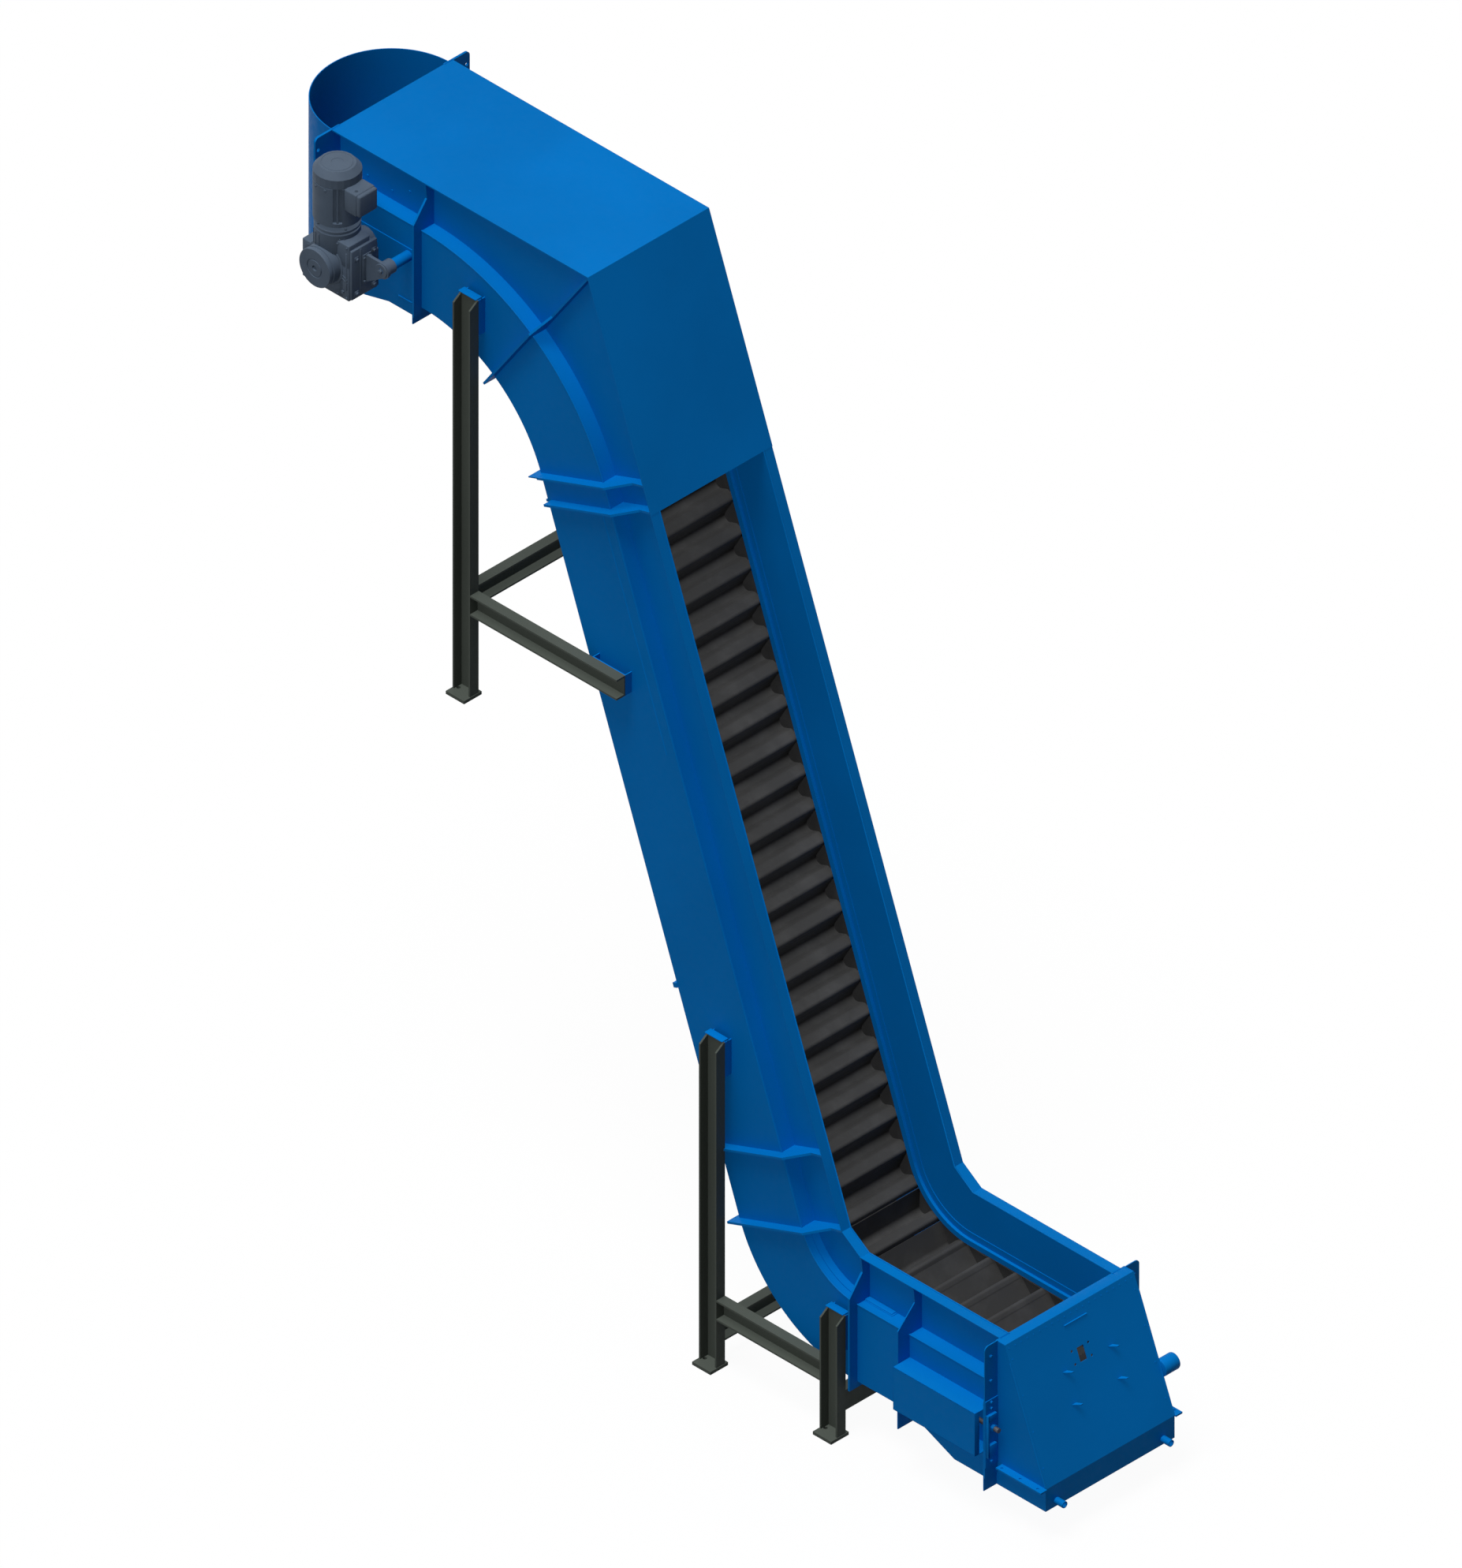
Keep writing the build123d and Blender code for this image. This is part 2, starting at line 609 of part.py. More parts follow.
slant_run = math.hypot(tail_slope, 1.0)
plate_shift = SHEET * slant_run
side_outline = [
    (TAIL_JOINT_X, TAIL_BACK_Z),
    (slant_x(0) - plate_shift, TAIL_BACK_Z),
    (slant_x(SHELF_HEIGHT) - plate_shift, shelf_z),
    (TAIL_JOINT_X, shelf_z),
]
tail_box = both_sides(xz_face(side_outline), HALF_WIDTH - SHEET, HALF_WIDTH)
tail_box += upper_frame(
    TAIL_JOINT_X,
    slant_x(SHELF_HEIGHT) - plate_shift,
    slant_x(LIP_HEIGHT) - plate_shift,
)
tail_box += end_flange(tail_joint, FLANGE_SHEET, 0, SHELF_HEIGHT)
flange_x = (TAIL_JOINT_X + SUMP_FLANGE_START, slant_x(0) + SUMP_FLANGE_END)
flange_y = (HALF_WIDTH, HALF_WIDTH + SUMP_FLANGE_WIDTH)
for side in (-1, 1):
    band = sorted((side * flange_y[0], side * flange_y[1]))
    tail_box += block(flange_x, band, (TAIL_BACK_Z, TAIL_BACK_Z + SUMP_FLANGE_SHEET))
parts["tail_box"] = tail_box

# slanted end plate, its top band, the inspection opening and the lifting lugs
plate = across(
    xz_face([
        (slant_x(0) - plate_shift, TAIL_BACK_Z),
        (slant_x(0), TAIL_BACK_Z),
        (slant_x(SHELF_HEIGHT), shelf_z),
        (slant_x(SHELF_HEIGHT) - plate_shift, shelf_z),
    ]),
    -HALF_WIDTH,
    HALF_WIDTH,
)
plate += across(
    xz_face([
        (slant_x(SHELF_HEIGHT) - plate_shift, shelf_z),
        (slant_x(SHELF_HEIGHT), shelf_z),
        (slant_x(LIP_HEIGHT), lip_z),
        (slant_x(LIP_HEIGHT) - plate_shift, lip_z),
    ]),
    -UPPER_HALF_WIDTH - LIP_WIDTH,
    UPPER_HALF_WIDTH + LIP_WIDTH,
)
door_x = slant_x(DOOR_CENTRE_UP)
door_z = TAIL_BACK_Z + DOOR_CENTRE_UP
plate -= Pos(door_x, DOOR_CENTRE_Y, door_z) * Box(GUARD_OUT, DOOR_WIDTH, DOOR_HEIGHT)
parts["tail_end_plate"] = plate

# sump pan bolted under the tail box
sump_high = TAIL_BACK_Z
sump = block((TAIL_JOINT_X, slant_x(0)), (-HALF_WIDTH, HALF_WIDTH), (SUMP_BOTTOM_Z, sump_high))
sump -= block(
    (TAIL_JOINT_X, slant_x(0) - SHEET),
    (-HALF_WIDTH + SHEET, HALF_WIDTH - SHEET),
    (SUMP_BOTTOM_Z + SHEET, sump_high),
)
for side in (-1, 1):
    band = sorted((side * flange_y[0], side * flange_y[1]))
    sump += block(flange_x, band, (TAIL_BACK_Z - SUMP_FLANGE_SHEET, TAIL_BACK_Z))
pipe_z = SUMP_BOTTOM_Z + PIPE_RISE
for pipe_y in PIPE_Y:
    pipe_start = Plane(origin=(slant_x(0), pipe_y, pipe_z), x_dir=ALONG_Y, z_dir=(1, 0, 0))
    sump += extrude(pipe_start * RegularPolygon(PIPE_RADIUS, PIPE_SIDES), amount=PIPE_LENGTH)
    bore = RegularPolygon(PIPE_BORE, PIPE_SIDES)
    sump -= extrude(pipe_start * bore, amount=PIPE_LENGTH)
    sump -= extrude(pipe_start * bore, amount=-SHEET)
parts["sump_pan"] = sump

# head section with its lowered floor
head_shelf_z = HEAD_BACK_Z + SHELF_HEIGHT
head_lip_z = HEAD_BACK_Z + LIP_HEIGHT
floor_top = HEAD_BACK_Z - HEAD_FLOOR_DROP
floor_low = HEAD_BACK_Z - HEAD_FLOOR_LOW_DROP
break_x = CONVEX_X - HEAD_FLOOR_BREAK
ramp_x = break_x - HEAD_FLOOR_RAMP
floor_line = [(CONVEX_X, floor_top), (break_x, floor_top), (ramp_x, floor_low), (HEAD_END_X, floor_low)]
floor_back = [(x, z + SHEET) for x, z in reversed(floor_line)]
head = both_sides(
    xz_face(floor_line + [(HEAD_END_X, head_shelf_z), (CONVEX_X, head_shelf_z)]),
    HALF_WIDTH - SHEET,
    HALF_WIDTH,
)
head += across(xz_face(floor_line + floor_back), -HALF_WIDTH, HALF_WIDTH)
head += both_sides(
    xz_face([
        (HEAD_END_X, head_shelf_z - SHEET),
        (CONVEX_X, head_shelf_z - SHEET),
        (CONVEX_X, head_shelf_z),
        (HEAD_END_X, head_shelf_z),
    ]),
    UPPER_INSIDE,
    HALF_WIDTH,
)
head += both_sides(
    xz_face([
        (HEAD_END_X, head_shelf_z - SHEET),
        (CONVEX_X, head_shelf_z - SHEET),
        (CONVEX_X, head_lip_z),
        (HEAD_END_X, head_lip_z),
    ]),
    UPPER_INSIDE,
    UPPER_HALF_WIDTH,
)
head += both_sides(
    xz_face([
        (HEAD_END_X, head_lip_z - SHEET),
        (CONVEX_X, head_lip_z - SHEET),
        (CONVEX_X, head_lip_z),
        (HEAD_END_X, head_lip_z),
    ]),
    UPPER_HALF_WIDTH,
    UPPER_HALF_WIDTH + LIP_WIDTH,
)
head_joint = station(CONVEX_X, HEAD_BACK_Z, 0)
head += flange(head_joint, -FLANGE_SHEET, behind=HEAD_FLOOR_DROP)
head_end = station(HEAD_END_X, HEAD_BACK_Z, 0)
head += end_flange(head_end, FLANGE_SHEET, -HEAD_FLOOR_LOW_DROP, SHELF_HEIGHT)
for side in (-1, 1):
    wall = sorted((side * (HALF_WIDTH - SHEET), side * HALF_WIDTH))
    head -= rod_y(HEAD_SHAFT_X, HEAD_SHAFT_Z, SHAFT_RADIUS + SLOT_MARGIN, wall[0], wall[1])
parts["head_section"] = head

# half-round discharge chute on the end flange
chute_low = floor_low - CHUTE_BELOW_FLOOR
chute_high = head_lip_z - CHUTE_TOP_GAP
half_room = block(
    (HEAD_END_X - CHUTE_RADIUS - CHUTE_SHEET, HEAD_END_X),
    (-CHUTE_RADIUS - CHUTE_SHEET, CHUTE_RADIUS + CHUTE_SHEET),
    (chute_low, chute_high),
)
shell = rod_z(HEAD_END_X, 0, CHUTE_RADIUS, chute_low, chute_high)
shell -= rod_z(HEAD_END_X, 0, CHUTE_RADIUS - CHUTE_SHEET, chute_low, chute_high)
chute = shell & half_room
end_plate = block(
    (HEAD_END_X - FLANGE_SHEET, HEAD_END_X),
    (-end_out, end_out),
    (floor_low, head_shelf_z),
)
end_plate += block(
    (HEAD_END_X - FLANGE_SHEET, HEAD_END_X),
    (-UPPER_HALF_WIDTH - LIP_WIDTH, UPPER_HALF_WIDTH + LIP_WIDTH),
    (head_shelf_z, chute_high),
)
opening_half = CHUTE_RADIUS - CHUTE_SHEET
end_plate -= block(
    (HEAD_END_X - FLANGE_SHEET, HEAD_END_X),
    (-opening_half, opening_half),
    (floor_low, chute_high),
)
chute += end_plate
parts["discharge_chute"] = chute

# covers over the head, the corner and the top of the incline
cover_half = UPPER_HALF_WIDTH + LIP_WIDTH
corner_outer = convex_point(TILT / 2, CORNER_RADIUS + COVER_SHEET / math.cos(math.radians(TILT / 2)))
corner_inner = convex_point(TILT / 2, CORNER_RADIUS)
top_cover_line = [
    (HEAD_END_X, head_lip_z),
    corner_inner,
    corner_outer,
    (HEAD_END_X, head_lip_z + COVER_SHEET),
]
parts["top_cover"] = across(xz_face(top_cover_line), -cover_half, cover_half)
slope_cover_line = [
    corner_inner,
    incline_point(WINDOW_TOP, LIP_HEIGHT),
    incline_point(WINDOW_TOP, LIP_HEIGHT + COVER_SHEET),
    corner_outer,
]
parts["slope_cover"] = across(xz_face(slope_cover_line), -cover_half, cover_half)

# skirt strips along the open part of the machine
skirt_in = UPPER_INSIDE - SKIRT_LEDGE
skirt_profile = [
    (UPPER_INSIDE, SKIRT_TOP),
    (UPPER_INSIDE - SHEET, SKIRT_TOP),
    (UPPER_INSIDE - SHEET, SKIRT_LEDGE_HEIGHT),
    (skirt_in, SKIRT_LEDGE_HEIGHT),
    (skirt_in, SKIRT_BOTTOM),
    (skirt_in + SHEET, SKIRT_BOTTOM),
    (skirt_in + SHEET, SKIRT_LEDGE_HEIGHT - SHEET),
    (UPPER_INSIDE, SKIRT_LEDGE_HEIGHT - SHEET),
]


def along_path(profile, tail_end, head_end):
    """Carry a profile on both sides along the tail run, bend and incline."""
    solids = []
    for side in (-1, 1):
        face = polygon([(side * y, n) for y, n in profile])
        solids.append(extrude(bend_start * face, amount=tail_end - CONCAVE_X))
        axis = Axis((CONCAVE_X, 0, CONCAVE_Z), ALONG_Y)
        solids.append(revolve(bend_start * face, axis=axis, revolution_arc=TILT))
        solids.append(extrude(incline_station(head_end) * face, amount=head_end))
    return solids


def round_the_top(profile, head_x):
    """Carry a profile on both sides round the convex bend and into the head."""
    solids = []
    for side in (-1, 1):
        face = polygon([(side * y, n) for y, n in profile])
        axis = Axis((CONVEX_X, 0, CONVEX_Z), ALONG_Y)
        solids.append(revolve(head_joint * face, axis=axis, revolution_arc=TILT))
        solids.append(extrude(head_joint * face, amount=head_x - CONVEX_X))
    return solids


skirt_end = slant_x(SHELF_HEIGHT) - SKIRT_END_GAP
parts["skirt_strips"] = Compound(along_path(skirt_profile, skirt_end, WINDOW_TOP))


# apron path as points a distance along and out from the back sheet
def path_point(distance, out):
    """XZ point a distance down the apron from the head shaft, out from the back sheet."""
    head_run = CONVEX_X - HEAD_SHAFT_X
    turn = math.radians(TILT)
    convex_run = (CONVEX_RADIUS + out) * turn
    concave_run = (CONCAVE_RADIUS - out) * turn
    if distance <= head_run:
        return HEAD_SHAFT_X + distance, HEAD_BACK_Z + out
    distance -= head_run
    if distance <= convex_run:
        return convex_point(math.degrees(distance / (CONVEX_RADIUS + out)), CONVEX_RADIUS + out)
    distance -= convex_run
    if distance <= INCLINE_LENGTH:
        return incline_point(INCLINE_LENGTH - distance, out)
    distance -= INCLINE_LENGTH
    if distance <= concave_run:
        angle = TILT - math.degrees(distance / (CONCAVE_RADIUS - out))
        return concave_point(angle, CONCAVE_RADIUS - out)
    return CONCAVE_X + distance - concave_run, TAIL_BACK_Z + out


def march(out, step, count):
    """Chain joints one straight step apart along the path, starting over the head shaft."""
    travelled = 0.0
    joints = [path_point(travelled, out)]
    for _ in range(count):
        low = travelled + step * (1 - STEP_SEARCH)
        high = travelled + step * (1 + STEP_SEARCH)
        for _ in range(SEARCH_STEPS):
            middle = (low + high) / 2
            if math.dist(joints[-1], path_point(middle, out)) < step:
                low = middle
            else:
                high = middle
        travelled = (low + high) / 2
        joints.append(path_point(travelled, out))
    return joints


carry_joints = march(CARRY_PIN, PITCH, RUN_PITCHES)
TAIL_SHAFT_X = carry_joints[-1][0]
short = PITCH * (1 - STRETCH_SEARCH)
long = PITCH * (1 + STRETCH_SEARCH)
for _ in range(SEARCH_STEPS):
    trial = (short + long) / 2
    if march(RETURN_PIN, trial, RUN_PITCHES)[-1][0] < TAIL_SHAFT_X:
        short = trial
    else:
        long = trial
return_joints = march(RETURN_PIN, trial, RUN_PITCHES)[::-1]
return_joints[0] = (TAIL_SHAFT_X, TAIL_BACK_Z + RETURN_PIN)


def wheel_joints(x, z, start):
    """Joints on a sprocket from the given angle, going round by one pitch each."""
    joints = []
    for index in range(LOOP_LINKS + 1):
        angle = math.radians(start - index * 180 / LOOP_LINKS)
        joints.append((x + SPROCKET_RADIUS * math.cos(angle), z + SPROCKET_RADIUS * math.sin(angle)))
    return joints


tail_joints = wheel_joints(TAIL_SHAFT_X, TAIL_SHAFT_Z, 90)
head_joints = wheel_joints(HEAD_SHAFT_X, HEAD_SHAFT_Z, 270)


def pan_outline(root_steps, nose_steps):
    """Outer line of a pan from its tucked edge through root, wall and nose to the lip."""
    slope = math.radians(PAN_SLOPE)
    slope_sin, slope_cos = math.sin(slope), math.cos(slope)
    lap = PAN_SHEET + PAN_LAP_GAP
    nose_height = PAN_DEPTH - NOSE_RADIUS
    across_root = (ROOT_RADIUS - lap + NOSE_RADIUS + (nose_height - ROOT_RADIUS) * slope_cos) / slope_sin
    nose = PITCH - across_root
    points = []
    behind = nose - PITCH
    start_x = behind + (NOSE_RADIUS - lap) * slope_sin + PAN_TUCK * slope_cos
    start_z = nose_height + (NOSE_RADIUS - lap) * slope_cos - PAN_TUCK * slope_sin
    points.append((start_x, start_z))
    for index in range(root_steps + 1):
        turn = slope - (slope + math.pi / 2) * index / root_steps
        points.append((-ROOT_RADIUS * math.sin(turn), ROOT_RADIUS * (1 - math.cos(turn))))
    flat = nose - NOSE_RADIUS * slope_sin - ROOT_RADIUS
    wall_top = nose_height + NOSE_RADIUS * slope_cos - flat * slope_sin / slope_cos
    points.append((ROOT_RADIUS, wall_top))
    for index in range(nose_steps + 1):
        turn = -slope + 2 * slope * index / nose_steps
        points.append((nose + NOSE_RADIUS * math.sin(turn), nose_height + NOSE_RADIUS * math.cos(turn)))
    lip_x = nose + NOSE_RADIUS * slope_sin + PAN_LIP * slope_cos
    lip_z_end = nose_height + NOSE_RADIUS * slope_cos - PAN_LIP * slope_sin
    points.append((lip_x, lip_z_end))
    return points, nose


def inner_line(points, depth):
    """The same line moved to the inner side by the sheet thickness."""
    normals = []
    for (x0, z0), (x1, z1) in zip(points, points[1:]):
        length = math.hypot(x1 - x0, z1 - z0)
        normals.append(((z1 - z0) / length, (x0 - x1) / length))
    moved = []
    for index, (x, z) in enumerate(points):
        before = normals[max(index - 1, 0)]
        after = normals[min(index, len(normals) - 1)]
        mid = (before[0] + after[0], before[1] + after[1])
        reach = depth * 2 / (mid[0] ** 2 + mid[1] ** 2)
        moved.append((x + mid[0] * reach, z + mid[1] * reach))
    return moved


def make_pan(root_steps, nose_steps, wings):
    """One pan with its joint at the nose end placed at the local origin."""
    line, nose = pan_outline(root_steps, nose_steps)
    inner = inner_line(line, PAN_SHEET)
    pan = across(xz_face(line + inner[::-1]), -PAN_HALF_WIDTH, PAN_HALF_WIDTH)
    if wings:
        root_end = root_steps + 1
        edge_x, edge_z = line[1]
        top_x, top_z = line[0]
        keep = PAN_LIP + PAN_TUCK
        run = math.hypot(edge_x - top_x, edge_z - top_z)
        share = keep / run
        corner = (top_x + (edge_x - top_x) * share, top_z + (edge_z - top_z) * share)
        wing = [corner] + line[1:root_end + 2]
        last_x, last_z = line[root_end + 1]
        wing.append((last_x + WING_PAST_ROOT, last_z + WING_OVER_ROOT))
        pan += both_sides(xz_face(wing), PAN_HALF_WIDTH - WING_SHEET, PAN_HALF_WIDTH)
    return Pos(-nose, 0, -PAN_DEPTH - PIN_OVER_RIDGE) * pan


def place(shape, first, second):
    """Move a local link shape so that its joints lie on the two given points."""
    angle = math.degrees(math.atan2(first[1] - second[1], second[0] - first[0]))
    return Pos(second[0], 0, second[1]) * Rot(0, angle, 0) * shape


fine_pan = make_pan(SEEN_ROOT_STEPS, SEEN_NOSE_STEPS, True)
plain_pan = make_pan(HIDDEN_ROOT_STEPS, HIDDEN_NOSE_STEPS, False)
bar_x = (-PITCH - BAR_OVERHANG, BAR_OVERHANG)
bar_z = (-BAR_HEIGHT / 2, BAR_HEIGHT / 2)
inner_bar = block(bar_x, (BAR_IN_Y, BAR_IN_Y + BAR_SHEET), bar_z)
outer_bar = block(bar_x, (BAR_OUT_Y, BAR_OUT_Y + BAR_SHEET), bar_z)
packer_x = (-PITCH + PACKER_MARGIN, -PACKER_MARGIN)
outer_bar += block(packer_x, (BAR_IN_Y, BAR_OUT_Y), (bar_z[0], 0))
roller_face = RegularPolygon(ROLLER_RADIUS, ROLLER_SIDES, rotation=180 / ROLLER_SIDES)
roller = Pos(0, ROLLER_Y, 0) * extrude(Plane.XZ * roller_face, amount=-ROLLER_WIDTH)

runs = {
    "carry": carry_joints,
    "tail": tail_joints,
    "return": return_joints,
    "head": head_joints,
}
pan_groups = {"open_run": [], "covered_run": [], "return_run": [], "tail_loop": []}
chain_groups = {"carry_run": [], "return_run": [], "tail_loop": []}
loop_rollers = {"head": [], "tail": []}
hidden_group = {"carry": "covered_run", "tail": "tail_loop", "return": "return_run", "head": "covered_run"}
chain_group = {"carry": "carry_run", "tail": "tail_loop", "return": "return_run", "head": "carry_run"}
window_x, window_z = incline_point(WINDOW_TOP, CARRY_PIN)
link_number = 0
for run, joints in runs.items():
    chain = chain_groups[chain_group[run]]
    for first, second in zip(joints, joints[1:]):
        seen = run == "carry" and first[1] < window_z
        group = "open_run" if seen else hidden_group[run]
        pan_groups[group].append(place(fine_pan if seen else plain_pan, first, second))
        bar = inner_bar if link_number % 2 == 0 else outer_bar
        placed = place(bar, first, second)
        chain += [placed, mirror(placed, Plane.XZ)]
        link_number += 1
    held = joints if run in loop_rollers else joints[1:-1]
    owner = loop_rollers.get(run, chain)
    for x, z in held:
        wheel = Pos(x, 0, z) * roller
        owner += [wheel, mirror(wheel, Plane.XZ)]
for group, pans in pan_groups.items():
    parts["pans_" + group] = Compound(pans)
for group, pieces in chain_groups.items():
    parts["chain_" + group] = Compound(pieces)
for end, wheels in loop_rollers.items():
    parts[end + "_loop_rollers"] = Compound(wheels)

# rails under the rollers
carry_top = CARRY_PIN - ROLLER_RADIUS - ROLLER_RUNNING_GAP
wall_in = HALF_WIDTH - SHEET
carry_profile = [
    (ROLLER_Y + SHEET, carry_top),
    (wall_in, carry_top),
    (wall_in, carry_top - RAIL_SHEET),
    (ROLLER_Y + SHEET, carry_top - RAIL_SHEET),
]
rail_head_x = HEAD_SHAFT_X + SPROCKET_RADIUS + ROLLER_RADIUS
rail_tail_x = TAIL_SHAFT_X - SPROCKET_RADIUS - ROLLER_RADIUS
rails = along_path(carry_profile, rail_tail_x, INCLINE_LENGTH)
rails += round_the_top(carry_profile, rail_head_x)
carry_rails = rails
return_top = RETURN_PIN - ROLLER_RADIUS - ROLLER_RUNNING_GAP
return_profile = [
    (ROLLER_Y, SHEET),
    (ROLLER_Y, return_top),
    (ROLLER_Y + RETURN_RAIL_WIDTH, return_top),
    (ROLLER_Y + RETURN_RAIL_WIDTH, SHEET),
]
rails = along_path(return_profile, RIB_X, INCLINE_LENGTH)
rails += round_the_top(return_profile, rail_head_x)
parts["return_rails"] = Compound(rails)
hold_low = CARRY_PIN + ROLLER_RADIUS + ROLLER_RUNNING_GAP
for side in (-1, 1):
    face = polygon([
        (side * ROLLER_Y, hold_low),
        (side * ROLLER_Y, SHELF_HEIGHT - SHEET),
        (side * (ROLLER_Y + ROLLER_WIDTH), SHELF_HEIGHT - SHEET),
        (side * (ROLLER_Y + ROLLER_WIDTH), hold_low),
    ])
    axis = Axis((CONCAVE_X, 0, CONCAVE_Z), ALONG_Y)
    carry_rails.append(revolve(bend_start * face, axis=axis, revolution_arc=TILT))
parts["carry_rails"] = Compound(carry_rails)


def sprocket(x, z):
    """Double-cut sprocket pair with hubs: twelve gaps take the six joints of a turn."""
    tip = SPROCKET_RADIUS + SPROCKET_TIP
    gap_step = 2 * GAP_WRAP / (GAP_POINTS - 1)
    gap = (ROLLER_RADIUS + SPROCKET_CLEARANCE) / math.cos(math.radians(gap_step / 2))
    edge = gap * math.sin(math.radians(GAP_WRAP)) / SPROCKET_RADIUS
    tip_turn = math.degrees(math.atan(edge))
    outline = []
    for index in range(SPROCKET_TEETH):
        middle = 90 + index * 360 / SPROCKET_TEETH
        centre = math.radians(middle)
        before = math.radians(middle - tip_turn)
        outline.append((tip * math.cos(before), tip * math.sin(before)))
        for step in range(GAP_POINTS):
            bearing_angle = math.radians(middle + 180 + GAP_WRAP - step * gap_step)
            gap_x = SPROCKET_RADIUS * math.cos(centre) + gap * math.cos(bearing_angle)
            gap_z = SPROCKET_RADIUS * math.sin(centre) + gap * math.sin(bearing_angle)
            outline.append((gap_x, gap_z))
        after = math.radians(middle + tip_turn)
        outline.append((tip * math.cos(after), tip * math.sin(after)))
    face = xz_face([(x + a, z + b) for a, b in outline])
    disc = across(face, SPROCKET_Y, SPROCKET_Y + SPROCKET_SHEET)
    hub_low = SPROCKET_Y - HUB_STEP
    hub_high = SPROCKET_Y + SPROCKET_SHEET + HUB_STEP
    disc += prism_y(x, z, HUB_RADIUS, HUB_SIDES, hub_low, hub_high)
    disc -= rod_y(x, z, SHAFT_RADIUS, hub_low, hub_high)
    return mirrored(disc)


parts["head_sprockets"] = sprocket(HEAD_SHAFT_X, HEAD_SHAFT_Z)
parts["tail_sprockets"] = sprocket(TAIL_SHAFT_X, TAIL_SHAFT_Z)
far_shaft_end = HALF_WIDTH + BLOCK_WIDTH
hub_end = GEAR_Y[0] - HUB_COVER_LENGTH / 2
parts["head_shaft"] = rod_y(HEAD_SHAFT_X, HEAD_SHAFT_Z, SHAFT_RADIUS, hub_end, far_shaft_end)
parts["tail_shaft"] = rod_y(TAIL_SHAFT_X, TAIL_SHAFT_Z, SHAFT_RADIUS, -far_shaft_end, far_shaft_end)

# take-up blocks, guides, screws and nuts behind the guards
block_in = HALF_WIDTH + WALL_GAP
block_out = block_in + BLOCK_WIDTH
half_block = BLOCK_SIZE / 2
bearing_bore = SHAFT_RADIUS + BORE_CLEARANCE
drive_block = block(
    (TAIL_SHAFT_X - half_block, TAIL_SHAFT_X + half_block),
    (-block_out, -block_in),
    (TAIL_SHAFT_Z - half_block, TAIL_SHAFT_Z + half_block),
)
drive_block -= rod_y(TAIL_SHAFT_X, TAIL_SHAFT_Z, bearing_bore, -block_out, -block_in)
parts["take_up_blocks"] = mirrored(drive_block)
screw_y = -(block_in + block_out) / 2
screw_start = TAIL_SHAFT_X + half_block
screw_end = TAIL_JOINT_X + FLANGE_SHEET + SCREW_PAST_FLANGE
drive_screw = rod_x(screw_y, TAIL_SHAFT_Z, SCREW_RADIUS, screw_start, screw_end)
parts["take_up_screws"] = mirrored(drive_screw)
nut_start = TAIL_JOINT_X + FLANGE_SHEET
nut_face = Plane(origin=(nut_start, screw_y, TAIL_SHAFT_Z), x_dir=ALONG_Y, z_dir=(1, 0, 0))
nut = extrude(nut_face * RegularPolygon(NUT_RADIUS, 6), amount=NUT_HEIGHT)
nut -= rod_x(screw_y, TAIL_SHAFT_Z, SCREW_RADIUS + BORE_CLEARANCE, nut_start, nut_start + NUT_HEIGHT)
parts["take_up_nuts"] = mirrored(nut)
guides = []
guide_x = (TAIL_SHAFT_X - half_block - GUIDE_MARGIN, TAIL_SHAFT_X + half_block + GUIDE_MARGIN)
for side in (-1, 1):
    low = TAIL_SHAFT_Z + side * (half_block + GUIDE_GAP)
    high = low + side * GUIDE_SHEET
    guides.append(block(guide_x, (-block_out, -HALF_WIDTH), tuple(sorted((low, high)))))
parts["take_up_guides"] = mirrored(Compound(guides))

# openings in the loading walls for shaft and the flange holes for the screws
slot_x = (TAIL_SHAFT_X - SHAFT_RADIUS - SLOT_MARGIN, TAIL_SHAFT_X + SHAFT_RADIUS + SLOT_MARGIN + TAKE_UP_TRAVEL)
slot_z = (TAIL_SHAFT_Z - SHAFT_RADIUS - SLOT_MARGIN, TAIL_SHAFT_Z + SHAFT_RADIUS + SLOT_MARGIN)
for side in (-1, 1):
    wall = sorted((side * (HALF_WIDTH - SHEET), side * HALF_WIDTH))
    parts["loading_section"] -= block(slot_x, wall, slot_z)
    flange_span = (TAIL_JOINT_X - FLANGE_SHEET, TAIL_JOINT_X)
    hole = SCREW_RADIUS + SCREW_ROOM
    parts["loading_section"] -= rod_x(side * screw_y, TAIL_SHAFT_Z, hole, flange_span[0], flange_span[1])
    flange_span = (TAIL_JOINT_X, TAIL_JOINT_X + FLANGE_SHEET)
    parts["tail_box"] -= rod_x(side * screw_y, TAIL_SHAFT_Z, hole, flange_span[0], flange_span[1])

# guards over the take-ups
GUARD_X = (RIB_X + GUARD_PAST_RIB, TAIL_JOINT_X - GUARD_BEFORE_JOINT)
GUARD_Z = (TAIL_SHAFT_Z - GUARD_BELOW, TAIL_SHAFT_Z + GUARD_ABOVE)
guard = block(GUARD_X, (-HALF_WIDTH - GUARD_OUT, -HALF_WIDTH), GUARD_Z)
guard -= block(
    (GUARD_X[0] + GUARD_SHEET, GUARD_X[1] - GUARD_SHEET),
    (-HALF_WIDTH - GUARD_OUT + GUARD_SHEET, -HALF_WIDTH),
    (GUARD_Z[0] + GUARD_SHEET, GUARD_Z[1] - GUARD_SHEET),
)
guard -= rod_x(screw_y, TAIL_SHAFT_Z, SCREW_RADIUS + SCREW_ROOM, GUARD_X[1] - GUARD_SHEET, GUARD_X[1])
parts["take_up_guard_near"] = guard
parts["take_up_guard_far"] = mirror(guard, Plane.XZ)


